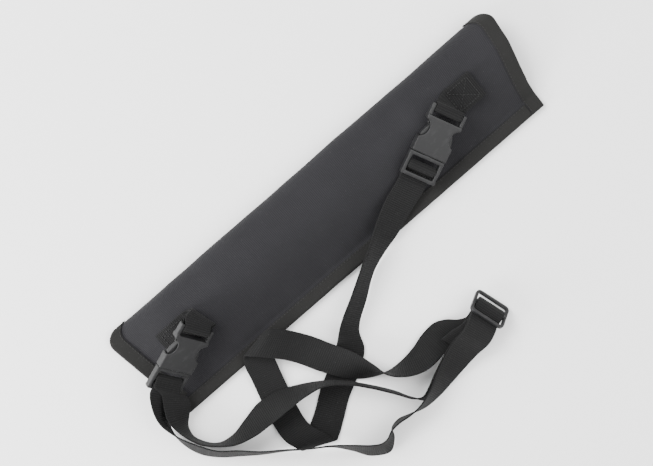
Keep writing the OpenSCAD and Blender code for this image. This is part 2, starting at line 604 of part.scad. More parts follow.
outer_cover();
foam_padding();
lining();
side_binding();
mouth_binding();
bottom_binding();
upper_anchor_tab();
lower_anchor_tab();
upper_tab_stitching();
lower_tab_stitching();
upper_buckle_socket();
upper_buckle_frame();
upper_prong_left();
upper_prong_right();
lower_buckle_socket();
lower_buckle_frame();
lower_prong_left();
lower_prong_right();
upper_strap_loop();
upper_strap_lead();
strap_crossing_run();
strap_long_run();
slider_lead();
strap_slider();
slider_webbing();
strap_sewn_end();
slider_return_lead();
strap_outer_run();
strap_inner_run();
lower_strap_lead();
lower_strap_loop();
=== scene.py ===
"""Looks of a padded telescope carry case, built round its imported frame.

The sleeve, tapes, webbing, stitching and moulded parts are all made in mesh
code in the frame's own axes, in metres.
"""

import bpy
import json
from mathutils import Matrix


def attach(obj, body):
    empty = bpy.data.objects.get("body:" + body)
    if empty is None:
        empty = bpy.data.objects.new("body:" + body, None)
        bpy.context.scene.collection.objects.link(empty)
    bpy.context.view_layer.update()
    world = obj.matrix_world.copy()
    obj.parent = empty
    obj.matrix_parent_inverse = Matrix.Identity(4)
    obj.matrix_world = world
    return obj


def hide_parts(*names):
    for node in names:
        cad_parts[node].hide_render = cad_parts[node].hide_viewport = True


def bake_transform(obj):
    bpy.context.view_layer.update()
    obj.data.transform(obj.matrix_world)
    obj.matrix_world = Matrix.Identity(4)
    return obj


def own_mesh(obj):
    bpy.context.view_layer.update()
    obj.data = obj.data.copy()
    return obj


bl_info = {
    "name": "Telescope carry case",
    "version": (1, 0, 0),
    "blender": (4, 5, 0),
    "location": "View3D > Sidebar > Carry case",
    "description": "Builds a padded telescope sleeve with its webbing strap and buckles",
    "category": "Add Mesh",
}

import json
import math

import bmesh
import bpy
import numpy as np
from mathutils import Matrix, Vector, noise

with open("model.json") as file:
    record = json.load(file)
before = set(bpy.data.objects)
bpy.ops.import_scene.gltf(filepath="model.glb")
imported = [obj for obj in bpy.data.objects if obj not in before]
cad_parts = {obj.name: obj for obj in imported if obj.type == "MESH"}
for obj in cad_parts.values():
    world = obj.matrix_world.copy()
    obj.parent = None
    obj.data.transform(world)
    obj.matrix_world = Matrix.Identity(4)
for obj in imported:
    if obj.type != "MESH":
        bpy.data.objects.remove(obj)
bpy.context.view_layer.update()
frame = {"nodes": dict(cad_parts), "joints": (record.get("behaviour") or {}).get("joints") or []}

MM = 0.001
HALF_TURN = math.pi


def unit(v):
    """The vector, or each row of vectors, at length one."""
    v = np.asarray(v, float)
    return v / np.maximum(np.linalg.norm(v, axis=-1, keepdims=True), 1e-12)


def smooth(t):
    """An ease from 0 to 1 that is level at both ends."""
    t = np.clip(t, 0, 1)
    return t * t * (3 - 2 * t)


def mix(a, b, t):
    """The place a share t of the way from a to b."""
    return a + (b - a) * t


# ---------------------------------------------------------------- properties
class CaseSizes(bpy.types.PropertyGroup):
    """Sizes of the soft parts"""

    rib_pitch: bpy.props.FloatProperty(
        name="Cloth rib pitch", description="Distance between the cover's ribs",
        default=0.0017, min=0.0005, max=0.005, unit="LENGTH")
    webbing_pitch: bpy.props.FloatProperty(
        name="Webbing rib pitch", description="Distance between ribs across the webbing",
        default=0.0021, min=0.001, max=0.005, unit="LENGTH")
    stitch_len: bpy.props.FloatProperty(
        name="Stitch length", description="Length of one stitch with its gap",
        default=0.0036, min=0.002, max=0.008, unit="LENGTH")
    thread_r: bpy.props.FloatProperty(
        name="Thread radius", description="Half the thickness of the sewing thread",
        default=0.0005, min=0.0002, max=0.001, unit="LENGTH")
    wrinkle: bpy.props.FloatProperty(
        name="Wrinkle height", description="Height of the soft ripples of the cover",
        default=0.0009, min=0.0, max=0.003, unit="LENGTH")
    edge_round: bpy.props.IntProperty(
        name="Edge rounding", description="Smoothing steps that round the moulded edges",
        default=7, min=0, max=30)


class CaseColours(bpy.types.PropertyGroup):
    """Colours of the finishes"""

    cover: bpy.props.FloatVectorProperty(
        name="Cover cloth", description="Colour of the outer cloth", subtype="COLOR",
        size=3, min=0, max=1, default=(0.0145, 0.0142, 0.0160))
    tape: bpy.props.FloatVectorProperty(
        name="Binding tape", description="Colour of the binding tape", subtype="COLOR",
        size=3, min=0, max=1, default=(0.0138, 0.0136, 0.0131))
    webbing: bpy.props.FloatVectorProperty(
        name="Webbing", description="Colour of the strap webbing", subtype="COLOR",
        size=3, min=0, max=1, default=(0.0085, 0.0085, 0.0086))
    plastic: bpy.props.FloatVectorProperty(
        name="Plastic", description="Colour of the buckles and slider", subtype="COLOR",
        size=3, min=0, max=1, default=(0.0125, 0.0125, 0.0130))
    thread: bpy.props.FloatVectorProperty(
        name="Thread", description="Colour of the sewing thread", subtype="COLOR",
        size=3, min=0, max=1, default=(0.0045, 0.0045, 0.0045))
    lining: bpy.props.FloatVectorProperty(
        name="Lining", description="Colour of the inner cloth", subtype="COLOR",
        size=3, min=0, max=1, default=(0.012, 0.012, 0.013))
    floor: bpy.props.FloatVectorProperty(
        name="Floor", description="Colour of the surface it lies on", subtype="COLOR",
        size=3, min=0, max=1, default=(0.93, 0.93, 0.93))


def sizes():
    """The sizes set on the scene."""
    return bpy.context.scene.case_sizes


def colours():
    """The colours set on the scene."""
    return bpy.context.scene.case_colours


# ------------------------------------------------------------- node groups
# Scales are in waves to the metre, and heights and jitter in metres.
FIBRE_SCALE, FIBRE_JITTER = 900.0, 0.0004
SHADE_GAIN, SHADE_LOW = 0.55, 0.62
FADE_GAIN, FADE_LOW = 0.5, 0.75
LINT_FROM, LINT_TO, LINT_SHARE = 0.70, 0.80, 0.22
LINT_COLOUR = (0.12, 0.12, 0.12, 1)
SCUFF_FROM, SCUFF_TO, SCUFF_STRETCH = 0.52, 0.72, (1.0, 2.5, 1.0)
CLOTH_ROUGH, CLOTH_ROUGH_EXTRA, CLOTH_ROUGH_DROP = 0.9, 0.05, 0.12
CLOTH_SPECULAR, CLOTH_FUZZ, SHEEN_ROUGH = 0.15, 0.35, 0.5
PLASTIC_SPECULAR, PLASTIC_ROUGH, SCUFF_ROUGH = 0.25, 0.33, 0.16
SCUFF_GAIN, SCUFF_LIFT, SCUFF_SHARE = 1.7, 0.01, 0.45
GRAIN_DEPTH, THREAD_DEPTH, SOFT_BUMP = 0.00006, 0.0001, 0.6
TWIST_SCALE, TWIST_GAIN, TWIST_LOW = 2500.0, 0.8, 0.6


def new_group(name, inputs, outputs):
    """An empty shader group with its sockets and its two end nodes."""
    group = bpy.data.node_groups.new(name, "ShaderNodeTree")
    for label, kind, value in inputs:
        socket = group.interface.new_socket(label, in_out="INPUT", socket_type=kind)
        if value is not None:
            socket.default_value = value
    for label, kind in outputs:
        group.interface.new_socket(label, in_out="OUTPUT", socket_type=kind)
    start = group.nodes.new("NodeGroupInput")
    end = group.nodes.new("NodeGroupOutput")
    return group, start, end


def value_in(tree, socket, value):
    """Feeds a socket from another socket or sets it."""
    if isinstance(value, bpy.types.NodeSocket):
        tree.links.new(value, socket)
    elif value is not None:
        socket.default_value = value


def maths(tree, operation, a, b=None):
    """One sum of one or two sockets or numbers."""
    node = tree.nodes.new("ShaderNodeMath")
    node.operation = operation
    for i, v in enumerate((a, b)):
        value_in(tree, node.inputs[i], v)
    return node.outputs[0]


def noise_at(tree, vector, scale, detail, rough=0.6, stretch=None):
    """Noise at a place, stretched first where a stretch is given."""
    if stretch is not None:
        m = tree.nodes.new("ShaderNodeVectorMath")
        m.operation = "MULTIPLY"
        tree.links.new(vector, m.inputs[0])
        m.inputs[1].default_value = stretch
        vector = m.outputs[0]
    n = tree.nodes.new("ShaderNodeTexNoise")
    tree.links.new(vector, n.inputs["Vector"])
    value_in(tree, n.inputs["Scale"], scale)
    n.inputs["Detail"].default_value = detail
    n.inputs["Roughness"].default_value = rough
    return n.outputs["Fac"]


def wave(tree, coordinate, pitch):
    """A ridge from 0 to 1 that repeats every pitch."""
    turns = maths(tree, "DIVIDE", coordinate, pitch)
    angle = maths(tree, "MULTIPLY", turns, HALF_TURN)
    return maths(tree, "ABSOLUTE", maths(tree, "SINE", angle))


def woven_group():
    """Threads that cross: ridges both ways, every other one lifted, with painted shade where they
    lie low.
    """
    name = "Woven threads"
    if name in bpy.data.node_groups:
        return bpy.data.node_groups[name]
    g, start, end = new_group(
        name,
        [("Lay", "NodeSocketVector", None), ("Rib pitch", "NodeSocketFloat", 0.002),
         ("Thread pitch", "NodeSocketFloat", 0.001), ("Rib share", "NodeSocketFloat", 0.6),
         ("Fuzz", "NodeSocketFloat", 0.3)],
        [("Height", "NodeSocketFloat"), ("Shade", "NodeSocketFloat")])
    axes = g.nodes.new("ShaderNodeSeparateXYZ")
    g.links.new(start.outputs["Lay"], axes.inputs[0])
    jitter = noise_at(g, start.outputs["Lay"], FIBRE_SCALE, 2.0)
    wobble = maths(g, "MULTIPLY", maths(g, "SUBTRACT", jitter, 0.5), FIBRE_JITTER)
    along = maths(g, "ADD", axes.outputs[1], wobble)
    rib = wave(g, along, start.outputs["Rib pitch"])
    thread = wave(g, axes.outputs[0], start.outputs["Thread pitch"])
    both = maths(g, "MULTIPLY", rib, thread)
    ribs = maths(g, "MULTIPLY", rib, start.outputs["Rib share"])
    rest = maths(g, "MULTIPLY", both, maths(g, "SUBTRACT", 1.0, start.outputs["Rib share"]))
    woven = maths(g, "ADD", ribs, rest)
    fuzz = maths(g, "MULTIPLY", maths(g, "SUBTRACT", jitter, 0.5), start.outputs["Fuzz"])
    height = maths(g, "ADD", woven, fuzz)
    g.links.new(height, end.inputs["Height"])
    # Painted shade: the Shade output is darker where the weave lies low, between the threads; the
    # fuzz adds random tone.
    shade = maths(g, "ADD", maths(g, "MULTIPLY", height, SHADE_GAIN), SHADE_LOW)
    g.links.new(shade, end.inputs["Shade"])
    return g


def dust_group():
    """Broad fading and small pale specks as two masks."""
    name = "Fading and lint"
    if name in bpy.data.node_groups:
        return bpy.data.node_groups[name]
    g, start, end = new_group(
        name,
        [("Place", "NodeSocketVector", None), ("Patch scale", "NodeSocketFloat", 14.0),
         ("Speck scale", "NodeSocketFloat", 900.0)],
        [("Fade", "NodeSocketFloat"), ("Lint", "NodeSocketFloat")])
    broad = noise_at(g, start.outputs["Place"], start.outputs["Patch scale"], 4.0)
    fade = maths(g, "ADD", maths(g, "MULTIPLY", broad, FADE_GAIN), FADE_LOW)
    g.links.new(fade, end.inputs["Fade"])
    speck = noise_at(g, start.outputs["Place"], start.outputs["Speck scale"], 1.0)
    lint = g.nodes.new("ShaderNodeMapRange")
    g.links.new(speck, lint.inputs["Value"])
    lint.inputs["From Min"].default_value = LINT_FROM
    lint.inputs["From Max"].default_value = LINT_TO
    g.links.new(lint.outputs["Result"], end.inputs["Lint"])
    return g


def scuff_group():
    """Fine moulding grain and a few rubbed patches on hard plastic."""
    name = "Grain and scuffs"
    if name in bpy.data.node_groups:
        return bpy.data.node_groups[name]
    g, start, end = new_group(
        name,
        [("Place", "NodeSocketVector", None), ("Grain scale", "NodeSocketFloat", 1600.0),
         ("Scuff scale", "NodeSocketFloat", 90.0)],
        [("Height", "NodeSocketFloat"), ("Scuff", "NodeSocketFloat")])
    grain = noise_at(g, start.outputs["Place"], start.outputs["Grain scale"], 2.0)
    g.links.new(grain, end.inputs["Height"])
    rub = noise_at(g, start.outputs["Place"], start.outputs["Scuff scale"], 5.0, 0.7,
                   SCUFF_STRETCH)
    mask = g.nodes.new("ShaderNodeMapRange")
    g.links.new(rub, mask.inputs["Value"])
    mask.inputs["From Min"].default_value = SCUFF_FROM
    mask.inputs["From Max"].default_value = SCUFF_TO
    g.links.new(mask.outputs["Result"], end.inputs["Scuff"])
    return g


def group_node(tree, group, **values):
    """A shared group placed in a material, with its own values."""
    node = tree.nodes.new("ShaderNodeGroup")
    node.node_tree = group
    for label, value in values.items():
        value_in(tree, node.inputs[label.replace("_", " ")], value)
    return node


def mixed(tree, factor, a, b):
    """Colour a towards colour b by a factor."""
    node = tree.nodes.new("ShaderNodeMix")
    node.data_type = "RGBA"
    value_in(tree, node.inputs["Factor"], factor)
    value_in(tree, node.inputs["A"], a)
    value_in(tree, node.inputs["B"], b)
    return node.outputs["Result"]


def scaled(tree, colour, factor):
    """A colour made lighter or darker by a varying factor."""
    node = tree.nodes.new("ShaderNodeVectorMath")
    node.operation = "SCALE"
    value_in(tree, node.inputs[0], colour)
    value_in(tree, node.inputs["Scale"], factor)
    return node.outputs[0]


def start_material(name):
    """A new material, its node tree and its shader."""
    m = bpy.data.materials.new(name)
    m.use_nodes = True
    tree = m.node_tree
    return m, tree, tree.nodes["Principled BSDF"]


def bump(tree, shader, height, distance, strength=1.0):
    """Fine relief on a shader."""
    node = tree.nodes.new("ShaderNodeBump")
    node.inputs["Strength"].default_value = strength
    node.inputs["Distance"].default_value = distance
    tree.links.new(height, node.inputs["Height"])
    tree.links.new(node.outputs["Normal"], shader.inputs["Normal"])


def cloth_material(name, colour, rib, thread, share, depth, sheen):
    """Woven cloth whose threads follow the piece's own lay, painted darker between its threads as
    shade.
    """
    m, tree, shader = start_material(name)
    lay = tree.nodes.new("ShaderNodeAttribute")
    lay.attribute_name = "lay"
    place = tree.nodes.new("ShaderNodeTexCoord")
    weave = group_node(tree, woven_group(), Lay=lay.outputs["Vector"], Rib_pitch=rib,
                       Thread_pitch=thread, Rib_share=share, Fuzz=CLOTH_FUZZ)
    dust = group_node(tree, dust_group(), Place=place.outputs["Object"])
    # The weave's painted shade between the threads, times the random fading.
    tone = maths(tree, "MULTIPLY", weave.outputs["Shade"], dust.outputs["Fade"])
    base = scaled(tree, tuple(colour), tone)
    lint = maths(tree, "MULTIPLY", dust.outputs["Lint"], LINT_SHARE)
    tree.links.new(mixed(tree, lint, base, LINT_COLOUR), shader.inputs["Base Color"])
    roughness = maths(tree, "SUBTRACT", CLOTH_ROUGH + CLOTH_ROUGH_EXTRA,
                      maths(tree, "MULTIPLY", weave.outputs["Height"], CLOTH_ROUGH_DROP))
    tree.links.new(roughness, shader.inputs["Roughness"])
    shader.inputs["Sheen Weight"].default_value = sheen
    shader.inputs["Sheen Roughness"].default_value = SHEEN_ROUGH
    shader.inputs["Specular IOR Level"].default_value = CLOTH_SPECULAR
    bump(tree, shader, weave.outputs["Height"], depth)
    return m


def plastic_material(colour):
    """Moulded plastic with a fine grain, rubbed paler and rougher in patches."""
    m, tree, shader = start_material("moulded_plastic")
    place = tree.nodes.new("ShaderNodeTexCoord")
    marks = group_node(tree, scuff_group(), Place=place.outputs["Object"])
    lighter = tuple(min(1.0, c * SCUFF_GAIN + SCUFF_LIFT) for c in colour)
    part = maths(tree, "MULTIPLY", marks.outputs["Scuff"], SCUFF_SHARE)
    tree.links.new(mixed(tree, part, (*colour, 1), (*lighter, 1)), shader.inputs["Base Color"])
    shader.inputs["Specular IOR Level"].default_value = PLASTIC_SPECULAR
    rougher = maths(tree, "MULTIPLY", marks.outputs["Scuff"], SCUFF_ROUGH)
    roughness = maths(tree, "ADD", PLASTIC_ROUGH, rougher)
    tree.links.new(roughness, shader.inputs["Roughness"])
    bump(tree, shader, marks.outputs["Height"], GRAIN_DEPTH, SOFT_BUMP)
    return m


def thread_material(colour):
    """Twisted sewing thread."""
    m, tree, shader = start_material("sewing_thread")
    place = tree.nodes.new("ShaderNodeTexCoord")
    twist = noise_at(tree, place.outputs["Object"], TWIST_SCALE, 2.0)
    tone = maths(tree, "ADD", maths(tree, "MULTIPLY", twist, TWIST_GAIN), TWIST_LOW)
    tree.links.new(scaled(tree, tuple(colour), tone), shader.inputs["Base Color"])
    shader.inputs["Roughness"].default_value = 0.8
    bump(tree, shader, twist, THREAD_DEPTH, SOFT_BUMP)
    return m


def finish_named(name):
    """The finish of that name, made when it is first asked for."""
    if name in bpy.data.materials:
        return bpy.data.materials[name]
    c, s = colours(), sizes()
    made = {
        "cover_cloth": lambda: cloth_material(
            "cover_cloth", c.cover, s.rib_pitch, thread=0.0011, share=0.65,
            depth=0.00022, sheen=0.03),
        "binding_cloth": lambda: cloth_material(
            "binding_cloth", c.tape, 0.0011, thread=0.0011, share=0.35,
            depth=0.00018, sheen=0.03),
        "lining_cloth": lambda: cloth_material(
            "lining_cloth", c.lining, 0.0008, thread=0.0008, share=0.3,
            depth=0.00008, sheen=0.02),
        "strap_webbing": lambda: cloth_material(
            "strap_webbing", c.webbing, s.webbing_pitch, thread=0.0019, share=0.5,
            depth=0.00035, sheen=0.02),
        "moulded_plastic": lambda: plastic_material(c.plastic),
        "sewing_thread": lambda: thread_material(c.thread),
    }
    return made[name]()


# -------------------------------------------------------------- mesh helpers
SHARP_ANGLE = 65.0


def add_piece(name, points, faces, finish, body, lay=None):
    """A smooth mesh piece that rides on a body; lay holds each point's place on the cloth."""
    mesh = bpy.data.meshes.new(name)
    mesh.from_pydata([tuple(p) for p in points], [], [tuple(f) for f in faces])
    if lay is not None:
        attribute = mesh.attributes.new("lay", "FLOAT_VECTOR", "POINT")
        attribute.data.foreach_set("vector", np.asarray(lay, np.float32).ravel())
    mesh.polygons.foreach_set("use_smooth", [True] * len(mesh.polygons))
    mesh.materials.append(finish_named(finish))
    mesh.update()
    obj = bpy.data.objects.new(name, mesh)
    bpy.context.scene.collection.objects.link(obj)
    tidy = bmesh.new()
    tidy.from_mesh(mesh)
    bmesh.ops.recalc_face_normals(tidy, faces=tidy.faces)
    tidy.to_mesh(mesh)
    tidy.free()
    mesh.set_sharp_from_angle(angle=math.radians(SHARP_ANGLE))
    if body:
        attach(obj, body)
    return obj


def loft_faces(rows, ring):
    """Faces that join rows of closed rings, with caps made across the first and last."""
    faces = []
    for i in range(rows - 1):
        near, far = i * ring, (i + 1) * ring
        faces += [(near + j, far + j, far + (j + 1) % ring, near + (j + 1) % ring)
                  for j in range(ring)]
    for start in (0, (rows - 1) * ring):
        faces += [(start + j, start + j + 1, start + ring - 2 - j, start + ring - 1 - j)
                  for j in range(ring // 2 - 1)]
    return faces


def steps_along(line):
    """How far along a line of points each one lies."""
    return np.concatenate([[0], np.cumsum(np.linalg.norm(np.diff(line, axis=0), axis=1))])


def grid_lay(across, along, shape):
    """Each grid point's place on the cloth: across it, then along it."""
    return np.stack([np.broadcast_to(across, shape), np.broadcast_to(along, shape),
                     np.zeros(shape)], 2)


def sheet_mesh(outer, inner, lay):
    """Closed shell between two grids of points."""
    m, n = outer.shape[:2]
    count = m * n
    faces = []
    for base, order in ((0, 1), (count, -1)):
        for i in range(m - 1):
            for j in range(n - 1):
                a = base + i * n + j
                faces.append((a, a + 1, a + n + 1, a + n)[::order])
    edge = [*range(n)] + [i * n + n - 1 for i in range(1, m)]
    edge += [(m - 1) * n + j for j in range(n - 2, -1, -1)] + [i * n for i in range(m - 2, 0, -1)]
    for a, b in zip(edge, edge[1:] + edge[:1]):
        faces.append((a, b, count + b, count + a))
    points = np.concatenate([outer.reshape(-1, 3), inner.reshape(-1, 3)])
    return points, faces, np.concatenate([lay.reshape(-1, 3)] * 2)


# -------------------------------------------------------- shape of the sleeve
# Millimetres. s runs from the sewn edge towards the fold, and u from 0 at the
# bottom end to 1 at the mouth.
FOLD_LEN, SEAM_LEN, CASE_W, FOLD_H, CROWN = 500.0, 465.0, 110.0, 26.0, 4.0
CORNER_R, MOUTH_DIP, DIP_SPAN = 15.0, 2.5, 70.0
COVER_T, LINING_T, FOAM_T, LAYER_GAP, TAPE_T, BAND_W = 1.2, 0.8, 3.5, 0.2, 1.0, 13.0
HALF_W = CASE_W / 2
MEAN_LEN = (FOLD_LEN + SEAM_LEN) / 2
SKIN_LIFT = TAPE_T + LAYER_GAP
PINCH_H = 2 * (COVER_T + LINING_T + LAYER_GAP) + LAYER_GAP
PINCH_FLAT = BAND_W + 2
SWELL_LEN, FOAM_RATE, LIFT_SPAN = 60.0, 2.5, 20.0
BAND_U = BAND_W / MEAN_LEN
EDGE_GAP = 1.2


def rise(t):
    """A quarter wave from 0 to 1."""
    return np.sin(np.clip(t, 0, 1) * HALF_TURN / 2)


def half_len(y):
    """Half the sleeve's length at y."""
    return mix(SEAM_LEN, FOLD_LEN, y / CASE_W + 0.5) / 2


def corner_cut(y):
    """How far the rounded corners by the fold are cut back at y."""
    d = np.maximum(y - (HALF_W - CORNER_R), 0)
    return CORNER_R - np.sqrt(np.maximum(0, CORNER_R**2 - d * d))


def dip(y):
    """How far the mouth's edge dips in at y."""
    inside = np.clip((y + HALF_W) / DIP_SPAN, 0, 1)
    return MOUTH_DIP * np.sin(HALF_TURN * inside)


def x_bottom(y):
    """Where the bottom end lies at y."""
    return -half_len(y) + corner_cut(y)


def x_mouth(y):
    """Where the mouth lies at y."""
    return half_len(y) - corner_cut(y) - dip(y)


def swell_end(u):
    """How full the sleeve is at step u, up from its pressed bottom end."""
    return rise((u * MEAN_LEN - PINCH_FLAT) / SWELL_LEN)


def swell(s, u):
    """How full the sleeve is, up from its sewn edge and bottom end."""
    return rise((s - PINCH_FLAT) / SWELL_LEN) * swell_end(u)


def height(s, u):
    """Height of the sleeve from its underside to its top."""
    plump = FOLD_H - PINCH_H
    bulge = CROWN * np.sin(HALF_TURN * np.clip(s / (CASE_W - FOLD_H / 2), 0, 1))
    return PINCH_H + swell(s, u) * (plump + bulge)


def lift(s, u):
    """How far the tapes hold the skin off the floor."""
    near = np.minimum(s, np.minimum(u, 1 - u) * MEAN_LEN)
    return SKIN_LIFT * (1 - smooth((near - BAND_W) / LIFT_SPAN))


def roll_r(u):
    """Radius of the fold at step u."""
    return (PINCH_H + swell_end(u) * (FOLD_H - PINCH_H)) / 2


def foam_part(s, u):
    """Share of its full thickness that the foam has."""
    return np.clip(FOAM_RATE * swell(s, u), 0, 1)


def layer_depth(face, s, u):
    """How deep a face of a layer lies under the cover."""
    foam = foam_part(s, u)
    return {
        "cover_out": 0 * foam,
        "cover_in": COVER_T + 0 * foam,
        "lining_out": COVER_T + LAYER_GAP + (FOAM_T + LAYER_GAP) * foam,
        "lining_in": COVER_T + LAYER_GAP + LINING_T + (FOAM_T + LAYER_GAP) * foam,
        "tape_in": -LAYER_GAP + 0 * foam,
        "tape_out": -SKIN_LIFT + 0 * foam,
        "core": (PINCH_H - LAYER_GAP) / 2 + 0 * foam,
    }[face]


N_FLAT, N_ROUND = 46, 15


def section(u, face, first=0.0, extra=0.0):
    """Points round the sleeve at step u: underside, fold, top. extra stands off the face."""
    r = roll_r(u)
    share = np.linspace(0, 1, N_FLAT)
    s = first + (CASE_W - r - first) * share
    y = s - HALF_W
    d = layer_depth(face, s, u) + extra
    x = mix(x_bottom(y), x_mouth(y), u)
    under = np.stack([x, y, lift(s, u) + d], 1)
    over = np.stack([x, y, lift(s, u) + height(s, u) - d], 1)[::-1]
    a = np.linspace(-HALF_TURN / 2, HALF_TURN / 2, N_ROUND + 2)[1:-1]
    ones = np.full_like(a, CASE_W)
    dr = layer_depth(face, ones, u) + extra
    ry = r - dr
    yo = HALF_W - r + r * np.cos(a)
    fold = np.stack([mix(x_bottom(yo), x_mouth(yo), u), HALF_W - r + ry * np.cos(a),
                     lift(ones, u) + r + ry * np.sin(a)], 1)
    return np.concatenate([under, fold, over])


def top_z(x, y):
    """Height of the sleeve's top at a place on it."""
    s = y + HALF_W
    u = np.clip((x - x_bottom(y)) / (x_mouth(y) - x_bottom(y)), 0, 1)
    return float(lift(s, u) + height(s, u))


END_CROWDING = 0.10


def along_steps(count, end=1.0):
    """Steps along the case, closer together near both ends."""
    t = np.linspace(0, 1, count)
    t = t - END_CROWDING * np.sin(2 * HALF_TURN * t) / HALF_TURN
    return end * t


# Waves to the millimetre, heights as shares of the ripple height.
BROAD_WAVES, BROAD_SHARE = (0.010, 0.016, 0.02), 0.8
FINE_WAVES, FINE_SHARE = (0.045, 0.020, 0.05), 0.35
BROAD_FROM, FINE_FROM = 3.7, 9.1
PUCKER_REACH, PUCKER_SHARE, HELD_SPAN = 14.0, 0.35, 7.0


def pucker(place, pitch, drift, drift_pitch):
    """Uneven waves that the stitches pull into the cloth along a tape."""
    return np.sin(place * pitch + drift * np.sin(place * drift_pitch))


def ripple(points, u, s):
    """Height of the soft ripples at points of the cloth."""
    out = np.zeros(len(points))
    for i, (x, y, z) in enumerate(points):
        bx, by, bz = BROAD_WAVES
        place = Vector((x * bx, y * by, z * bz + BROAD_FROM))
        broad = noise.fractal(place, 1.0, 2.0, 3, noise_basis="PERLIN_ORIGINAL")
        fx, fy, fz = FINE_WAVES
        fine = noise.noise(Vector((x * fx, y * fy, z * fz + FINE_FROM)))
        out[i] = BROAD_SHARE * broad + FINE_SHARE * fine
    near_end = np.minimum(u, 1 - u) * MEAN_LEN
    pull = np.exp(-np.maximum(s - BAND_W, 0) / PUCKER_REACH)
    pull_end = np.exp(-np.maximum(near_end - BAND_W, 0) / PUCKER_REACH)
    along_seam = pucker(points[:, 0], 0.33, 2.0, 0.045) * pull
    along_end = pucker(points[:, 1], 0.38, 1.3, 0.07) * pull_end
    held = smooth((np.minimum(s, near_end) - BAND_W) / HELD_SPAN)
    return (out + PUCKER_SHARE * (along_seam + along_end)) * held


FLOOR_CLEAR = 0.05


def skin_grids(face_out, face_in, count, height_mm):
    """Outer and inner grids of a layer, rippled, with their lay on the cloth."""
    steps = along_steps(count)
    outer = np.stack([section(u, face_out) for u in steps])
    inner = np.stack([section(u, face_in) for u in steps])
    out = unit(outer - inner)
    across = steps_along(outer[count // 2])
    share = np.linspace(0, 1, N_FLAT)
    n = outer.shape[1]
    for i, u in enumerate(steps):
        r = roll_r(u)
        flat = (CASE_W - r) * share
        s = np.concatenate([flat, np.full(N_ROUND, CASE_W - r), flat[::-1]])
        h = ripple(outer[i], np.full(n, u), s) * height_mm
        move = out[i] * h[:, None]
        outer[i] += move
        inner[i] += move
    outer[:, :, 2] = np.maximum(outer[:, :, 2], FLOOR_CLEAR)
    lay = grid_lay(across, outer[:, n // 2, 0][:, None], outer.shape[:2])
    return outer * MM, inner * MM, lay * MM


COVER_STEPS, LINING_STEPS, LINING_RIPPLE = 170, 90, 0.6


class CASE_OT_sleeve(bpy.types.Operator):
    """Build the padded cover and its lining"""

    bl_idname = "carry_case.sleeve"
    bl_label = "Padded sleeve"

    def execute(self, context):
        tall = sizes().wrinkle / MM
        outer, inner, lay = skin_grids("cover_out", "cover_in", COVER_STEPS, tall)
        points, faces, lay = sheet_mesh(outer, inner, lay)
        cover = add_piece("padded_cover", points, faces, "cover_cloth", "case",
                          lay)
        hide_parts("outer_cover", "foam_padding")
        outer, inner, lay = skin_grids("lining_out", "lining_in", LINING_STEPS,
                                       tall * LINING_RIPPLE)
        points, faces, lay = sheet_mesh(outer, inner, lay)
        lining = add_piece("sleeve_lining", points, faces, "lining_cloth", "case",
                           lay)
        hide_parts("lining")
        return {"FINISHED"}


# ------------------------------------------------------------- binding tapes
# Which way each tape's thickness goes from the order its points are given in.
SIDE_IN, RIM_IN, CORNER_IN, END_IN = 1.0, -1.0, 1.0, 1.0
CORNER_END = 30.0
NOSE_OUT = 2.2
RIM_LEG_FROM, RIM_LEG_SPAN = 28.0, 12.0
TAPE_SHARE, TAPE_WAVER, WAVER_SCALE = 0.9, 0.12, 0.08
# The side tape's legs end short of its nose, and only the legs waver.
SIDE_LEG_END, SIDE_NOSE_AT, SIDE_NOSE_R = 1.5, 1.2, 2.4
SIDE_STEPS, SIDE_SHORT = 150, 0.002
SIDE_WAVER, SIDE_WAVER_SCALE, SIDE_STEADY = 0.25, 0.03, 5
# The corner tape's free end is pinched flatter than the rest.
CORNER_TAPER, CORNER_TAPER_SPAN, CORNER_RAISE = 0.72, 1.6, 0.4
# Where the stitches run, as shares of the way between the tape's first two rows.
SIDE_STITCH, END_STITCH, CORNER_STITCH_FROM = 0.8, 0.6, 4


def thickened(path, across, gap):
    """Closed rings from open paths: each path, and back along it moved across by gap."""
    return np.concatenate([path, (path + across * gap)[:, ::-1]], axis=1)


def path_normals(path):
    """Normals in each path's own plane, from its neighbours across the strip."""
    step = np.gradient(path, axis=1)
    side = np.gradient(path, axis=0)
    return unit(np.cross(side, step))


def tape_piece(name, path, flip):
    """A tape from a grid of points down its outer face, given its thickness."""
    normals = path_normals(path) * flip
    waver = np.array([[noise.noise(Vector(p) * WAVER_SCALE) for p in row] for row in path])
    path = path + normals * (-TAPE_WAVER * waver[:, :, None])
    rings = thickened(path, normals, TAPE_T * TAPE_SHARE)
    count, ring = rings.shape[:2]
    across = steps_along(path[count // 2])
    along = steps_along(path[:, path.shape[1] // 3])
    across = np.concatenate([across, across[::-1]])
    lay = grid_lay(across, along[:, None], (count, ring))
    points = rings.reshape(-1, 3) * MM
    return add_piece(name, points, loft_faces(count, ring), "binding_cloth", "case",
                     lay.reshape(-1, 3) * MM)


def side_tape_path():
    """Outer face of the tape over the sewn edge: top leg, nose, under leg."""
    top = SKIN_LIFT + PINCH_H + SKIN_LIFT
    legs = np.linspace(BAND_W - 1, SIDE_LEG_END, 9)
    turn = np.linspace(HALF_TURN / 2, 3 * HALF_TURN / 2, 11)
    nose = np.stack([SIDE_NOSE_AT + SIDE_NOSE_R * np.cos(turn),
                     top / 2 + top / 2 * np.sin(turn)], 1)
    flat_top = np.stack([legs, np.full_like(legs, top)], 1)
    flat_under = np.stack([legs[::-1], np.zeros_like(legs)], 1)
    shape = np.concatenate([flat_top, nose, flat_under])
    rows = []
    for u in along_steps(SIDE_STEPS, 1 - BAND_U - SIDE_SHORT):
        x = mix(x_bottom(-HALF_W), x_mouth(-HALF_W), u)
        waver = SIDE_WAVER * noise.noise(Vector((x * SIDE_WAVER_SCALE, 1.0, 2.0)))
        rows.append([[x, -HALF_W + a + waver * (a > SIDE_STEADY), b] for a, b in shape])
    return np.array(rows)


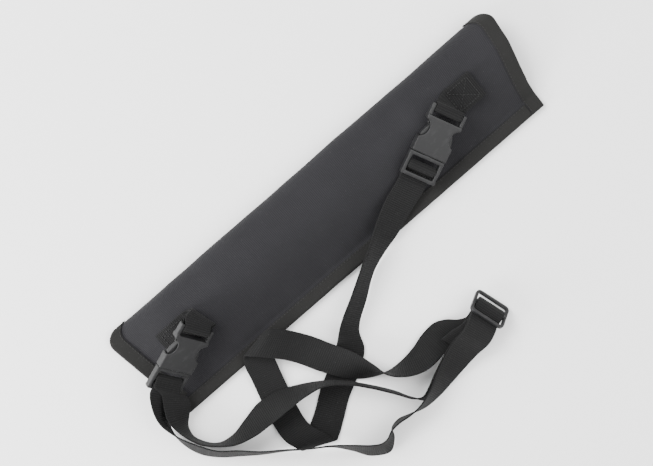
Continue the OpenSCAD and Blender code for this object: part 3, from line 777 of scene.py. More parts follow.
def rim_path():
    """Outer face of the tape round the open rim, section by section."""
    first = CORNER_END
    legs = np.linspace(1 - BAND_U, 1.0, 8)
    outer = np.stack([section(u, "tape_out", first) for u in legs], 1)
    inside = []
    deep = section(1.0, "lining_in", first, SKIN_LIFT)
    wide = outer[:, -1]
    middle = (wide + deep) / 2
    arm = (wide - deep) / 2
    nose = []
    for a in np.linspace(HALF_TURN / 2, -HALF_TURN / 2, 9)[1:-1]:
        nose.append(middle + arm * math.sin(a) + np.array([1, 0, 0]) * (NOSE_OUT * math.cos(a)))
    flat = first + (CASE_W - roll_r(1.0) - first) * np.linspace(0, 1, N_FLAT)
    s = np.concatenate([flat, np.full(N_ROUND, CASE_W), flat[::-1]])
    leg = mix(1.0, BAND_W - 1, smooth((s - RIM_LEG_FROM) / RIM_LEG_SPAN))
    for t in np.linspace(0, 1, 6):
        rows = [section(1 - l * t / MEAN_LEN, "lining_in", first, SKIN_LIFT)[k]
                for k, l in enumerate(leg)]
        inside.append(np.array(rows))
    return np.concatenate([outer, np.stack(nose, 1), np.stack(inside, 1)], axis=1)


def corner_path():
    """Outer face of the tape round the closed corner by the sewn edge."""
    rows = []
    for s in np.concatenate([[-SKIN_LIFT, -0.8, -0.2], np.linspace(0.6, CORNER_END, 26)]):
        y = s - HALF_W
        at = max(s, 0.0)
        top = float(lift(at, 1.0) + height(at, 1.0)) + SKIN_LIFT
        top = mix(top * CORNER_TAPER, top, smooth((s + SKIN_LIFT) / CORNER_TAPER_SPAN))
        x0 = float(mix(x_bottom(y), x_mouth(y), 1 - BAND_U))
        x1 = float(x_mouth(y))
        legs = np.linspace(x0, x1, 9)
        turn = np.linspace(HALF_TURN / 2, -HALF_TURN / 2, 11)[1:-1]
        low = 0.0 if s > -0.5 else CORNER_RAISE
        shape = ([[x, y, top] for x in legs]
                 + [[x1 + NOSE_OUT * math.cos(a), y,
                     (top + low) / 2 + (top - low) / 2 * math.sin(a)] for a in turn]
                 + [[x, y, low] for x in legs[::-1]])
        rows.append(shape)
    return np.array(rows)


def end_path():
    """Outer face of the tape over the closed bottom end, half a wrap at each section."""
    first = PINCH_FLAT
    legs = np.linspace(BAND_U, 0.0, 8)
    outer = np.stack([section(u, "tape_out", first) for u in legs], 1)
    wide = section(0.0, "tape_out", first)
    core = section(0.0, "core", first)
    nose = [core + (wide - core) * math.cos(a) - np.array([EDGE_GAP + TAPE_T, 0, 0]) * math.sin(a)
            for a in np.linspace(0, HALF_TURN / 2, 7)[1:]]
    return np.concatenate([outer, np.stack(nose, 1)], axis=1)


# Where a stitch starts, crests and ends along its length, and how its ends sink.
STITCH_STOPS, STITCH_SINK = (0.12, 0.5, 0.88), -0.15
THREAD_SIDES, THREAD_TAPER = 6, (0.35, 1.0, 0.35)
SEAM_LIFT = 0.22


def stitch_points(line, normal, lift_mm):
    """Single stitches along a line of points, and the way each stands out."""
    gap = sizes().stitch_len / MM
    along = steps_along(line)
    stand = np.array([[STITCH_SINK], [lift_mm], [STITCH_SINK]])
    stitches = []
    for k in range(int(along[-1] / gap)):
        at = np.array([k + stop for stop in STITCH_STOPS]) * gap
        p = np.stack([np.interp(at, along, line[:, i]) for i in range(3)], 1)
        n = unit(np.stack([np.interp(at, along, normal[:, i]) for i in range(3)], 1))
        stitches.append((p + n * stand, n))
    return stitches


def stitch_piece(name, lines, lift_mm):
    """All the stitches of one seam as one piece of thread."""
    r = sizes().thread_r / MM
    sides = THREAD_SIDES
    points, faces = [], []
    for line, normal in lines:
        for p, n in stitch_points(line, normal, lift_mm):
            t = unit(p[2] - p[0])
            w = np.cross(t, n[1])
            base = len(points)
            for i, scale in enumerate(THREAD_TAPER):
                for a in np.linspace(0, 2 * HALF_TURN, sides + 1)[:-1]:
                    points.append(p[i] + (w * math.cos(a) + n[1] * math.sin(a)) * r * scale)
            for i in range(2):
                for j in range(sides):
                    a, b = base + i * sides + j, base + i * sides + (j + 1) % sides
                    faces.append((a, b, b + sides, a + sides))
            faces.append(tuple(base + j for j in range(sides))[::-1])
            faces.append(tuple(base + 2 * sides + j for j in range(sides)))
    return add_piece(name, np.array(points) * MM, faces, "sewing_thread", "case")


class CASE_OT_bindings(bpy.types.Operator):
    """Bind the sewn edge, the mouth and the bottom end with stitched tape"""

    bl_idname = "carry_case.bindings"
    bl_label = "Binding tapes"

    def execute(self, context):
        side = side_tape_path()
        piece = tape_piece("side_tape", side, SIDE_IN)
        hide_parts("side_binding")
        rim = rim_path()
        piece = tape_piece("mouth_rim_tape", rim, RIM_IN)
        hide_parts("mouth_binding")
        corner = corner_path()
        tape_piece("mouth_corner_tape", corner, CORNER_IN)
        bottom = end_path()
        piece = tape_piece("bottom_tape", bottom, END_IN)
        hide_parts("bottom_binding")
        up = np.array([0, 0, 1.0])
        lines = []
        line = mix(side[:, 0], side[:, 1], SIDE_STITCH)
        lines.append((line, np.broadcast_to(up, line.shape)))
        for grid, flip in ((rim, RIM_IN), (bottom, END_IN)):
            line = mix(grid[:, 0], grid[:, 1], END_STITCH)
            lines.append((line, -path_normals(grid)[:, 1] * flip))
        seam = corner[CORNER_STITCH_FROM:]
        line = mix(seam[:, 0], seam[:, 1], END_STITCH)
        lines.append((line, np.broadcast_to(up, line.shape)))
        stitch_piece("binding_stitches", lines, SEAM_LIFT)
        return {"FINISHED"}


# ------------------------------------------------------------------ the strap
# Rows are the middle of the webbing in metres, the way its width points as
# azimuth and elevation in degrees, and half its width.
CROSSING = [
    (0.058, -0.036, 0.018, 114, 24, 0.015), (0.035, -0.046, 0.0168, 117, 36, 0.015),
    (0.014, -0.055, 0.0158, 116, 56, 0.015), (-0.002, -0.062, 0.015, 116, 62, 0.015),
    (-0.03, -0.079, 0.0145, 122, 58, 0.015), (-0.058, -0.097, 0.0125, 122, 48, 0.015),
    (-0.069, -0.111, 0.0068, 130, 20, 0.015), (-0.088, -0.124, 0.002, 121, 4, 0.015),
    (-0.111, -0.136, 0.001, 120, 0, 0.015), (-0.13, -0.149, 0.001, 125, 0, 0.015),
    (-0.148, -0.16, 0.0012, 138, 0, 0.016), (-0.157, -0.165, 0.004, 156, 0, 0.017),
    (-0.16, -0.157, 0.0072, 167, 0, 0.016), (-0.165, -0.143, 0.006, 173, 0, 0.015),
    (-0.163, -0.118, 0.0025, 170, 0, 0.015), (-0.157, -0.096, 0.0025, 165, 0, 0.015),
    (-0.151, -0.076, 0.006, 163, 0, 0.015), (-0.146, -0.06, 0.01, 170, 0, 0.0155),
    (-0.141, -0.05, 0.0125, 182, 0, 0.0162), (-0.138, -0.046, 0.017, 189, 0, 0.0165),
    (-0.133, -0.049, 0.0215, 196, 0, 0.0163), (-0.124, -0.058, 0.0195, 205, 0, 0.0155),
    (-0.114, -0.07, 0.0145, 208, 0, 0.015), (-0.106, -0.082, 0.0115, 207, 0, 0.015),
    (-0.095, -0.102, 0.012, 206, -3, 0.015), (-0.081, -0.125, 0.013, 211, -25, 0.015),
    (-0.069, -0.143, 0.0145, 213, -60, 0.015), (-0.059, -0.154, 0.016, 218, -90, 0.015),
    (-0.042, -0.162, 0.015, 244, -120, 0.015), (-0.025, -0.165, 0.012, 259, -146, 0.015),
    (-0.004, -0.163, 0.007, 276, -168, 0.015), (0.012, -0.163, 0.0035, 278, -178, 0.015),
    (0.024, -0.168, 0.005, 282, -182, 0.015), (0.034, -0.175, 0.0075, 287, -186, 0.015),
]
OUTER_RUN = [
    (0.032, -0.184, 0.024, 110, 14, 0.015), (0.016, -0.186, 0.0195, 108, 24, 0.015),
    (-0.001, -0.19, 0.0156, 108, 35, 0.015), (-0.019, -0.195, 0.015, 107, 49, 0.015),
    (-0.037, -0.2, 0.016, 103, 63, 0.015), (-0.054, -0.202, 0.0162, 92, 75, 0.015),
    (-0.069, -0.2, 0.016, 84, 86, 0.015), (-0.082, -0.1975, 0.016, 85, 90, 0.015),
    (-0.092, -0.1995, 0.016, 108, 86, 0.015), (-0.098, -0.205, 0.016, 128, 74, 0.015),
    (-0.107, -0.209, 0.0145, 95, 60, 0.015), (-0.119, -0.203, 0.015, 60, 62, 0.015),
    (-0.132, -0.188, 0.0175, 42, 72, 0.015), (-0.146, -0.1725, 0.024, 44, 80, 0.015),
    (-0.165, -0.159, 0.0258, 52, 82, 0.015), (-0.185, -0.145, 0.019, 56, 80, 0.015),
    (-0.205, -0.1315, 0.016, 56, 77, 0.015), (-0.221, -0.118, 0.016, 52, 72, 0.015),
    (-0.237, -0.105, 0.016, 44, 71, 0.015), (-0.2479, -0.0907, 0.016, 30, 68, 0.015),
    (-0.2546, -0.0754, 0.016, 10, 73, 0.015), (-0.2575, -0.06, 0.017, -8, 84, 0.015),
    (-0.256, -0.046, 0.0195, -24, 101, 0.015), (-0.248, -0.034, 0.0245, -42, 124, 0.015),
]
INNER_RUN = [
    (-0.046, -0.198, 0.0152, 92, 72, 0.015), (-0.055, -0.19, 0.016, 50, 86, 0.015),
    (-0.065, -0.174, 0.016, 36, 90, 0.015), (-0.08, -0.153, 0.017, 39, 90, 0.015),
    (-0.096, -0.134, 0.0188, 46, 91, 0.015), (-0.112, -0.121, 0.0185, 58, 95, 0.015),
    (-0.131, -0.113, 0.0175, 70, 110, 0.015), (-0.152, -0.1075, 0.016, 79, 130, 0.015),
    (-0.176, -0.105, 0.0135, 86, 142, 0.015), (-0.198, -0.106, 0.0136, 88, 125, 0.015),
    (-0.217, -0.1045, 0.0158, 78, 104, 0.015), (-0.2314, -0.0977, 0.016, 56, 89, 0.015),
    (-0.2419, -0.0866, 0.016, 32, 89, 0.015), (-0.2467, -0.0755, 0.016, 10, 91, 0.015),
    (-0.247, -0.064, 0.0166, -12, 104, 0.015), (-0.2436, -0.0535, 0.0193, -28, 127, 0.015),
    (-0.2367, -0.0436, 0.022, -39, 146, 0.015), (-0.231, -0.034, 0.025, -50, 147, 0.015),
]
TAIL = [
    (0.034, -0.179, 0.0175, 112, 9, 0.015), (0.022, -0.178, 0.013, 111, 8, 0.015),
    (0.009, -0.178, 0.0095, 110, 8, 0.015),
]
WEBBING_T, WEBBING_W = 0.0015, 0.03
BAR_R, WRAP_GAP, SLIDER_BAR_R = 0.0025, 0.0003, 0.0022
LOOP_R = BAR_R + WRAP_GAP + WEBBING_T / 2
TIGHT_R = SLIDER_BAR_R + WRAP_GAP + WEBBING_T / 2
LAYER_STEP = WEBBING_T + LAYER_GAP * MM
WIDE_R = TIGHT_R + LAYER_STEP
RUN_GAP = WEBBING_T + 0.001
CENTRE_X, END_X, FRAME_T, FRAME_GAP = 0.0588, 0.0713, 0.007, 0.0008
UNDER_Z = -(FRAME_T / 2 + FRAME_GAP + WEBBING_T / 2)
TAIL_Z = UNDER_Z - WEBBING_T - WRAP_GAP


def joint_named(name):
    """The frame's joint of that name."""
    return next(j for j in frame["joints"] if j["name"] == name)


def buckle_place(side):
    """The buckle's own axes: x from its loop bar to its plug, z its upper side."""
    swing, slide = joint_named(side + "_swing"), joint_named(side + "_unclip")
    x = Vector(slide["axis"]).normalized()
    y = -Vector(swing["axis"]).normalized()
    z = x.cross(y)
    place = Matrix((x, y, z)).transposed().to_4x4()
    place.translation = Vector(swing["pos_m"])
    return place


SLIDER_AT, SLIDER_TURNS = (0.0595, -0.173, 0.0133), ((23, "Z"), (42, "Y"), (10, "X"))


def slider_place():
    """The slider's own axes: y along its bars, z its upper side."""
    turn = Matrix.Identity(4)
    for degrees, axis in SLIDER_TURNS:
        turn = turn @ Matrix.Rotation(math.radians(degrees), 4, axis)
    turn.translation = Vector(SLIDER_AT)
    return turn


UPPER, LOWER, SLIDER = buckle_place("upper"), buckle_place("lower"), slider_place()


def aimed(rows):
    """Rows as arrays of six numbers: the middle, and half the width as a vector."""
    out = []
    for x, y, z, azimuth, elevation, half in rows:
        a, e = math.radians(azimuth), math.radians(elevation)
        out.append([x, y, z, half * math.cos(e) * math.cos(a),
                    half * math.cos(e) * math.sin(a), half * math.sin(e)])
    return np.array(out)


def placed(place, path, side):
    """Rows at points (x, z) of a place's own axes."""
    out = []
    wide = place.to_3x3() @ Vector((0, side * WEBBING_W / 2, 0))
    for x, z in path:
        out.append([*(place @ Vector((x, 0, z))), *wide])
    return np.array(out)


def arc(radius, start, end, steps, cx=0.0):
    """Points (x, z) on an arc between two angles in degrees."""
    angles = np.radians(np.linspace(start, end, steps + 1))
    return [(cx + radius * math.cos(a), radius * math.sin(a)) for a in angles]


def row_normals(rows):
    """The way the webbing's face points at each row."""
    ahead = np.concatenate([rows[1:, :3], rows[-1:, :3]])
    behind = np.concatenate([rows[:1, :3], rows[:-1, :3]])
    return unit(np.cross(ahead - behind, rows[:, 3:]))


def beneath(rows, first, last, gap):
    """Rows first to last, moved off the webbing's face by a gap."""
    moved = rows.copy()
    moved[:, :3] += row_normals(rows) * gap
    return moved[first:last + 1]


def mm(points):
    """Points given in millimetres, in metres."""
    return [(x * MM, z * MM) for x, z in points]


UPPER_LOOP = placed(UPPER, [
    (END_X + 0.004, TAIL_Z), (END_X - 0.004, TAIL_Z), (CENTRE_X + 0.003, -LOOP_R - 0.002),
    *arc(LOOP_R, -90, -270, 6, CENTRE_X), (CENTRE_X + 0.0038, 0.0022), (CENTRE_X + 0.0058, -0.0015),
    (CENTRE_X + 0.0076, UNDER_Z + 0.0002), (END_X - 0.002, UNDER_Z), (END_X + 0.006, UNDER_Z)], -1)
LOWER_LOOP = placed(LOWER, [
    (CENTRE_X + 0.007, 0.0065), (CENTRE_X + 0.0045, 0.0051), *arc(LOOP_R, 90, 270, 6, CENTRE_X),
    (CENTRE_X + 0.0032, -0.0029), (CENTRE_X + 0.0048, 0), (CENTRE_X + 0.0063, 0.0037),
    (END_X - 0.0034, 0.0049), (END_X + 0.002, 0.0049)], -1)
OUTER_PASS = placed(SLIDER, [
    *mm([(-18, -3.2), (-12.1, -3.5), (-10.8, -2.9), (-6.5, 0.95), (-4.6, 3), (-2.2, 4.6)]),
    *arc(WIDE_R, 90, -90, 4), *mm([(-5, -7.2), (-9, -10.5), (-12, -14.5)])], 1)
INNER_PASS = placed(SLIDER, [
    *mm([(-18, -5.6), (-12.4, -5.3), (-10.1, -4.5), (-4.6, 0.5), (-3, 1.9), (-1.4, 2.95)]),
    *arc(TIGHT_R, 90, -90, 4), *mm([(-5, -4.9), (-12.4, -7.4), (-18, -9)])], 1)
OUTER_ROWS, TAIL_ROWS = aimed(OUTER_RUN), aimed(TAIL)
INNER_ROWS = np.concatenate([
    beneath(np.concatenate([OUTER_PASS[:1], OUTER_ROWS]), 1, 5, RUN_GAP), aimed(INNER_RUN)])
STRAP = np.concatenate([
    UPPER_LOOP, aimed(CROSSING), OUTER_PASS[::-1], OUTER_ROWS, LOWER_LOOP[::-1],
    INNER_ROWS[::-1], INNER_PASS, TAIL_ROWS])
LOOP_END = len(UPPER_LOOP) - 1
LEAD_END = LOOP_END + 2
FOLD_AT = LOOP_END + 13
DIP_AT = LOOP_END + 31
PASS_IN = LOOP_END + 1 + len(CROSSING)
PASS_OUT = PASS_IN + len(OUTER_PASS) - 1
LOWER_IN = PASS_OUT + 1 + len(OUTER_ROWS)
LOWER_OUT = LOWER_IN + len(LOWER_LOOP) - 1
RETURN_IN = LOWER_OUT + 1 + len(INNER_ROWS)
RETURN_OUT = RETURN_IN + len(INNER_PASS) - 1
BACK_ROWS, LEAD_ROWS = 2, 3
RING_ACROSS = np.array([-1, -0.985, -0.95, -0.86, -0.66, -0.44, -0.22, 0,
                        0.22, 0.44, 0.66, 0.86, 0.95, 0.985, 1])
RING_THICK = np.array([0.25, 0.72, 0.97, 1.06, 1, 1, 1, 1, 1, 1, 1, 1.06, 0.97, 0.72, 0.25])


def curve_through(rows, first, last, step=0.0016):
    """Rows every few millimetres on a smooth curve through the given ones."""
    found = []
    for i in range(first, last):
        p0, p1 = rows[max(i - 1, 0)], rows[i]
        p2, p3 = rows[i + 1], rows[min(i + 2, len(rows) - 1)]
        chord = np.linalg.norm(p2[:3] - p1[:3])
        if i == 0:
            p0 = 2 * p1 - p2
        if i + 2 > len(rows) - 1:
            p3 = 2 * p2 - p1
        before = max(np.linalg.norm(p1[:3] - p0[:3]), 1e-6)
        after = max(np.linalg.norm(p3[:3] - p2[:3]), 1e-6)
        m1 = ((p1 - p0) / before * chord * chord + (p2 - p1) * before) / (before + chord)
        m2 = ((p2 - p1) * after + (p3 - p2) / after * chord * chord) / (after + chord)
        parts = max(2, math.ceil(chord / step))
        for q in range(parts + (i == last - 1)):
            t = q / parts
            found.append((2 * t**3 - 3 * t**2 + 1) * p1 + (t**3 - 2 * t**2 + t) * m1
                         + (3 * t**2 - 2 * t**3) * p2 + (t**3 - t**2) * m2)
    return np.array(found)


def ribbon_mesh(rows):
    """Points, faces and lay of webbing with rounded edges along smooth rows."""
    n = row_normals(rows)
    m, w = rows[:, :3], rows[:, 3:]
    spine = m[:, None] + w[:, None] * RING_ACROSS[:, None]
    stand = n[:, None] * (RING_THICK[:, None] * WEBBING_T / 2)
    low, high = spine - stand, spine + stand
    rings = np.concatenate([low, high[:, ::-1]], axis=1)
    count, ring = rings.shape[:2]
    along = steps_along(m)
    half = np.linalg.norm(w, axis=1)
    across = np.concatenate([RING_ACROSS, RING_ACROSS[::-1]])
    lay = grid_lay(half[:, None] * across[None], along[:, None], (count, ring))
    return rings.reshape(-1, 3), loft_faces(count, ring), lay.reshape(-1, 3)


def webbing_piece(name, runs, body, nodes):
    """A piece of webbing made of one or more runs of rows, and the middle of its first run."""
    points, faces, lay = [], [], []
    middle = None
    for rows, first, last in runs:
        smooth_rows = curve_through(rows, first, last)
        if middle is None:
            middle = smooth_rows[:, :3]
        p, f, l = ribbon_mesh(smooth_rows)
        base = sum(len(x) for x in points)
        faces += [tuple(i + base for i in face) for face in f]
        points.append(p)
        lay.append(l)
    piece = add_piece(name, np.concatenate(points), faces, "strap_webbing", body,
                      np.concatenate(lay))
    if nodes:
        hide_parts(*nodes)
    return piece, middle


def follow_slide(piece):
    """Gives a lead its own copy of its mesh."""
    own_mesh(piece)


def lead_piece(name, near, far, body, nodes=()):
    """The webbing between a row that slides and a row that stays."""
    piece, _ = webbing_piece(name, [(STRAP, min(near, far), max(near, far))], body, nodes)
    follow_slide(piece)
    return piece


def declare_strap(middle):
    """Thins a length of the strap to every third row and the last, and does nothing more with them.
    """
    thin = middle[::3]
    if (len(middle) - 1) % 3:
        thin = np.concatenate([thin, middle[-1:]])


class CASE_OT_strap(bpy.types.Operator):
    """Lay the webbing strap through its buckles and slider"""

    bl_idname = "carry_case.strap"
    bl_label = "Shoulder strap"

    def execute(self, context):
        upper_loop, _ = webbing_piece("upper_loop_webbing", [(STRAP, 0, LOOP_END)],
                                      "upper_plug", ["upper_strap_loop"])
        lead = lead_piece("upper_lead_webbing", LOOP_END, LEAD_END, "upper_socket",
                          ["upper_strap_lead"])
        crossing, line = webbing_piece("crossing_webbing", [(STRAP, LEAD_END, FOLD_AT)],
                                       None, ["strap_crossing_run"])
        declare_strap(line)
        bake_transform(crossing)
        long_run, line = webbing_piece("long_webbing", [(STRAP, FOLD_AT, DIP_AT)],
                                       "case", ["strap_long_run"])
        slider_lead = lead_piece("slider_lead_webbing", PASS_IN, DIP_AT, "case",
                                 ["slider_lead"])
        in_slider, _ = webbing_piece(
            "slider_webbing_loops", [(STRAP, PASS_IN, PASS_OUT), (STRAP, RETURN_IN, RETURN_OUT)],
            "slider", ["slider_webbing"])
        sewn, _ = webbing_piece("sewn_end_webbing", [(STRAP, RETURN_OUT, len(STRAP) - 1)],
                                "slider", ["strap_sewn_end"])
        declare_strap(line)
        outer, line = webbing_piece(
            "outer_run_webbing", [(STRAP, PASS_OUT + BACK_ROWS, LOWER_IN - LEAD_ROWS)],
            None, ["strap_outer_run"])
        returns = [
            lead_piece("return_outer_lead", PASS_OUT, PASS_OUT + BACK_ROWS, "case",
                       ["slider_return_lead"]),
            lead_piece("return_inner_lead", RETURN_IN, RETURN_IN - BACK_ROWS, "case")]
        lower_loop, _ = webbing_piece("lower_loop_webbing", [(STRAP, LOWER_IN, LOWER_OUT)],
                                      "lower_plug", ["lower_strap_loop"])
        leads = [
            lead_piece("lower_outer_lead", LOWER_IN, LOWER_IN - LEAD_ROWS, "lower_socket",
                       ["lower_strap_lead"]),
            lead_piece("lower_inner_lead", LOWER_OUT, LOWER_OUT + LEAD_ROWS, "lower_socket")]
        declare_strap(line)
        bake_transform(outer)
        inner, line = webbing_piece(
            "inner_run_webbing", [(STRAP, LOWER_OUT + LEAD_ROWS, RETURN_IN - BACK_ROWS)],
            None, ["strap_inner_run"])
        declare_strap(line)
        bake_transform(inner)
        return {"FINISHED"}


# ---------------------------------------------------------------- anchor tabs
PATCH_GAP, PATCH_LEN = 0.6, 36.0
UPPER_PATCH, LOWER_PATCH = (159.0, 4.5), (-171.0, 9.0)
UPPER_TILT, LOWER_TILT = 12.0, 6.0


def patch_row(x, y, layers, tilt):
    """A row of a sewn patch, so many layers up from the cover."""
    z = top_z(x, y) + PATCH_GAP + WEBBING_T / 2 / MM + layers * LAYER_STEP / MM
    return (x * MM, y * MM, z * MM, 90, tilt, WEBBING_W / 2)


def between(a, b, steps):
    """Rows spaced evenly between two rows."""
    return [mix(a, b, i / (steps + 1)) for i in range(1, steps + 1)]


def upper_tab_rows():
    """The upper tab: under its patch, round the buckle's bar and back over."""
    x0, y0 = UPPER_PATCH
    stops = [x0 + PATCH_LEN, x0 + PATCH_LEN / 2, x0]
    under = aimed([patch_row(x, y0, 0, UPPER_TILT) for x in stops])
    over = aimed([patch_row(x, y0, 1, UPPER_TILT) for x in (x0 + 3.5, stops[1], stops[0])])
    turn = placed(UPPER, [(-0.0026, -0.0052), *arc(LOOP_R, -100, 100, 6), (-0.0048, 0.001),
                          (-0.0059, -0.0026)], -1)
    return np.concatenate([under, between(under[2], turn[0], 1), turn,
                           between(turn[-1], over[0], 2), over])


# Rows of the lower tab's turn: height above the cover, then azimuth and elevation.
TURN_OUT = [(-0.162, 0.0075, 0.0015, 95, 10), (-0.1575, 0.0068, 0.006, 101, 17),
            (-0.1575, 0.0068, 0.013, 107, 24), (-0.1626, 0.0068, 0.0183, 113, 31)]
TURN_IN = [(-0.1645, 0.0074, 0.0156, 113, 31), (-0.1597, 0.0069, 0.0115, 107, 24),
           (-0.1597, 0.0068, 0.0065, 101, 17), (-0.1635, 0.0075, 0.0037, 95, 10)]


def lower_tab_rows():
    """The lower tab: under its patch, up round the buckle's bar and back over."""
    x0, y0 = LOWER_PATCH
    z0 = top_z(x0, y0) * MM
    stops = [x0 - PATCH_LEN, x0 - PATCH_LEN / 2, x0]
    under = aimed([patch_row(x, y0, 0, LOWER_TILT) for x in stops])
    over = aimed([patch_row(x, y0, 1, LOWER_TILT) for x in stops[::-1]])
    out, back = (aimed([(x, y, z0 + z, a, e, WEBBING_W / 2) for x, y, z, a, e in rows])
                 for rows in (TURN_OUT, TURN_IN))
    return np.concatenate([under, out, placed(LOWER, arc(LOOP_R, 110, -110, 6), -1), back, over])


BOX_INSET, BOX_SINK, BOX_LIFT = 5.0, 0.05, 0.3


def box_stitch_lines(x0, y0, tilt):
    """Square and cross of stitches on a patch."""
    x1, x2 = x0 - PATCH_LEN / 2 + BOX_INSET, x0 + PATCH_LEN / 2 - BOX_INSET
    half = WEBBING_W / 2 / MM - BOX_INSET + 1
    corners = [(x1, -half), (x2, -half), (x2, half), (x1, half)]
    order = [0, 1, 2, 3, 0, 2, 1, 3]
    rise_y = math.tan(math.radians(tilt))
    lines = []
    for a, b in zip(order, order[1:]):
        t = np.linspace(0, 1, 24)
        x = mix(corners[a][0], corners[b][0], t)
        v = mix(corners[a][1], corners[b][1], t)
        z = [top_z(p, y0) + PATCH_GAP + 1.5 * LAYER_STEP / MM + WEBBING_T / MM * 0.5
             + q * rise_y - BOX_SINK for p, q in zip(x, v)]
        line = np.stack([x, y0 + v, z], 1)
        normal = np.broadcast_to([0, -math.sin(math.radians(tilt)), math.cos(math.radians(tilt))],
                                 line.shape)
        lines.append((line, normal))
    return lines


class CASE_OT_tabs(bpy.types.Operator):
    """Sew the two webbing tabs that hold the buckles"""

    bl_idname = "carry_case.tabs"
    bl_label = "Anchor tabs"

    def execute(self, context):
        for side, rows, patch, tilt, way in (
                ("upper", upper_tab_rows(), UPPER_PATCH, UPPER_TILT, 1),
                ("lower", lower_tab_rows(), LOWER_PATCH, LOWER_TILT, -1)):
            webbing_piece(side + "_tab_webbing", [(rows, 0, len(rows) - 1)], "case",
                          [side + "_anchor_tab"])
            lines = box_stitch_lines(patch[0] + way * PATCH_LEN / 2, patch[1], tilt)
            threads = stitch_piece(side + "_tab_stitches", lines, BOX_LIFT)
            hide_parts(side + "_tab_stitching")
        return {"FINISHED"}


# -------------------------------------------------------- buckles and slider
SHELL_VOXEL, PRONG_VOXEL = 0.00055, 0.0004


def moulded(node, name, place, body, voxel=SHELL_VOXEL):
    """A copy of a hard part with softened edges, made square to the part's own axes."""
    mesh = frame["nodes"][node].data.copy()
    mesh.transform(place.inverted())
    work = bpy.data.objects.new(name + "_work", mesh)
    bpy.context.scene.collection.objects.link(work)
    skin = work.modifiers.new("skin", "REMESH")
    skin.mode = "VOXEL"
    skin.voxel_size = voxel
    skin.use_smooth_shade = True
    soften = work.modifiers.new("soften", "SMOOTH")
    soften.factor = 0.5
    soften.iterations = sizes().edge_round
    ready = work.evaluated_get(bpy.context.evaluated_depsgraph_get())
    made = bpy.data.meshes.new_from_object(ready)
    bpy.data.objects.remove(work)
    made.transform(place)
    made.name = name
    made.materials.clear()
    made.materials.append(finish_named("moulded_plastic"))
    made.polygons.foreach_set("material_index", [0] * len(made.polygons))
    made.polygons.foreach_set("use_smooth", [True] * len(made.polygons))
    piece = bpy.data.objects.new(name, made)
    bpy.context.scene.collection.objects.link(piece)
    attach(piece, body)
    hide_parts(node)


class CASE_OT_buckles(bpy.types.Operator):
    """Mould both side-release buckles"""

    bl_idname = "carry_case.buckles"
    bl_label = "Buckles"

    def execute(self, context):
        for side, place in (("upper", UPPER), ("lower", LOWER)):
            moulded(side + "_buckle_socket", side + "_socket_shell", place, side + "_socket")
            moulded(side + "_buckle_frame", side + "_plug_shell", place, side + "_plug")
            for hand in ("left", "right"):
                moulded(f"{side}_prong_{hand}", f"{side}_{hand}_prong_arm", place,
                        f"{side}_{hand}_prong", PRONG_VOXEL)
        return {"FINISHED"}


class CASE_OT_slider(bpy.types.Operator):
    """Mould the strap's slider"""

    bl_idname = "carry_case.slider"
    bl_label = "Strap slider"

    def execute(self, context):
        moulded("strap_slider", "slider_ring", SLIDER, "slider")
        return {"FINISHED"}


# ------------------------------------------------------------------ the stage
CAMERA_TURN, CAMERA_HEIGHT, SENSOR_W, LENS = -41.0, 1.5, 36.0, 82.7
AIM = Vector((-0.013, -0.010, 0.0))
LIGHT_AIM = (0, -0.05, 0)
# Each area light's name, place, size in metres and power in watts.
LIGHTS = (("key", (-0.55, 1.4, 1.7), 1.2, 75), ("side", (-1.6, 0.2, 0.6), 0.8, 45),
          ("fill", (1.2, -1.0, 2.2), 2.2, 60))
SKY_STRENGTH = 1.4
FLOOR_HALF, FLOOR_Z, FLOOR_ROUGH = 4.0, -0.0003, 0.9
CLOUD_SCALE, CLOUD_LOW, CLOUD_GAIN = 3.0, 0.985, 0.02


def look_at(obj, target):
    """Turns a light to face a place."""
    obj.rotation_mode = "QUATERNION"
    obj.rotation_quaternion = (Vector(target) - obj.location).to_track_quat("-Z", "Y")


def area_light(name, place, size, power):
    """A square soft light that faces the case."""
    light = bpy.data.lights.new(name, "AREA")
    light.shape, light.size, light.energy = "SQUARE", size, power
    obj = bpy.data.objects.new(name, light)
    obj.location = place
    bpy.context.scene.collection.objects.link(obj)
    look_at(obj, LIGHT_AIM)


def add_camera():
    """The camera, looking straight down."""
    data = bpy.data.cameras.new("view")
    data.sensor_width, data.lens = SENSOR_W, LENS
    obj = bpy.data.objects.new("view", data)
    obj.location = AIM + Vector((0, 0, CAMERA_HEIGHT))
    obj.rotation_euler = (0, 0, math.radians(CAMERA_TURN))
    bpy.context.scene.collection.objects.link(obj)
    bpy.context.scene.camera = obj


def floor_material():
    """Matt pale floor, very slightly uneven in tone."""
    m, tree, shader = start_material("pale_floor")
    place = tree.nodes.new("ShaderNodeTexCoord")
    clouds = noise_at(tree, place.outputs["Object"], CLOUD_SCALE, 2.0)
    tone = maths(tree, "ADD", CLOUD_LOW, maths(tree, "MULTIPLY", clouds, CLOUD_GAIN))
    tree.links.new(scaled(tree, tuple(colours().floor), tone), shader.inputs["Base Color"])
    shader.inputs["Roughness"].default_value = FLOOR_ROUGH
    return m


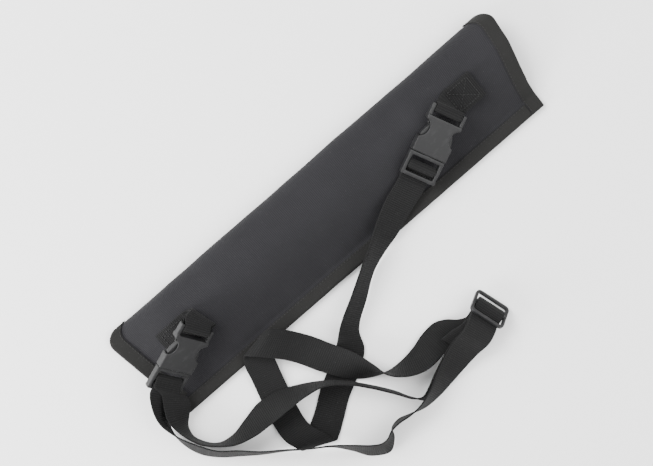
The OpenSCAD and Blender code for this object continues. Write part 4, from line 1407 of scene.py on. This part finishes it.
class CASE_OT_stage(bpy.types.Operator):
    """Set up the camera, the pale floor and the soft light"""

    bl_idname = "carry_case.stage"
    bl_label = "Stage"

    def execute(self, context):
        add_camera()
        for light in LIGHTS:
            area_light(*light)
        world = bpy.data.worlds.new("soft_sky")
        world.use_nodes = True
        sky = world.node_tree.nodes["Background"]
        sky.inputs["Color"].default_value = (1, 1, 1, 1)
        sky.inputs["Strength"].default_value = SKY_STRENGTH
        context.scene.world = world
        mesh = bpy.data.meshes.new("floor")
        corners = [(x * FLOOR_HALF, y * FLOOR_HALF, FLOOR_Z)
                   for x, y in ((-1, -1), (1, -1), (1, 1), (-1, 1))]
        mesh.from_pydata(corners, [], [(0, 1, 2, 3)])
        mesh.materials.append(floor_material())
        floor = bpy.data.objects.new("floor", mesh)
        context.scene.collection.objects.link(floor)
        return {"FINISHED"}


# ---------------------------------------------------------------- registering
STEPS = (CASE_OT_stage, CASE_OT_strap, CASE_OT_sleeve, CASE_OT_bindings, CASE_OT_tabs,
         CASE_OT_buckles, CASE_OT_slider)


class CASE_PT_panel(bpy.types.Panel):
    """Sizes, colours and steps of the carry case"""

    bl_idname = "CASE_PT_panel"
    bl_label = "Carry case"
    bl_space_type = "VIEW_3D"
    bl_region_type = "UI"
    bl_category = "Carry case"

    def draw(self, context):
        for group in (context.scene.case_sizes, context.scene.case_colours):
            for label in group.__annotations__:
                self.layout.prop(group, label)
        for step in STEPS:
            self.layout.operator(step.bl_idname)


CLASSES = (CaseSizes, CaseColours, *STEPS, CASE_PT_panel)


def register():
    """Registers the classes and hangs the properties on the scene."""
    for c in CLASSES:
        bpy.utils.register_class(c)
    bpy.types.Scene.case_sizes = bpy.props.PointerProperty(type=CaseSizes)
    bpy.types.Scene.case_colours = bpy.props.PointerProperty(type=CaseColours)


def unregister():
    """Takes away what register added."""
    del bpy.types.Scene.case_colours
    del bpy.types.Scene.case_sizes
    for c in reversed(CLASSES):
        bpy.utils.unregister_class(c)


def main():
    """Runs every step in order."""
    register()
    for step in STEPS:
        area, call = step.bl_idname.split(".")
        getattr(getattr(bpy.ops, area), call)()


if __name__ == "__main__":
    main()
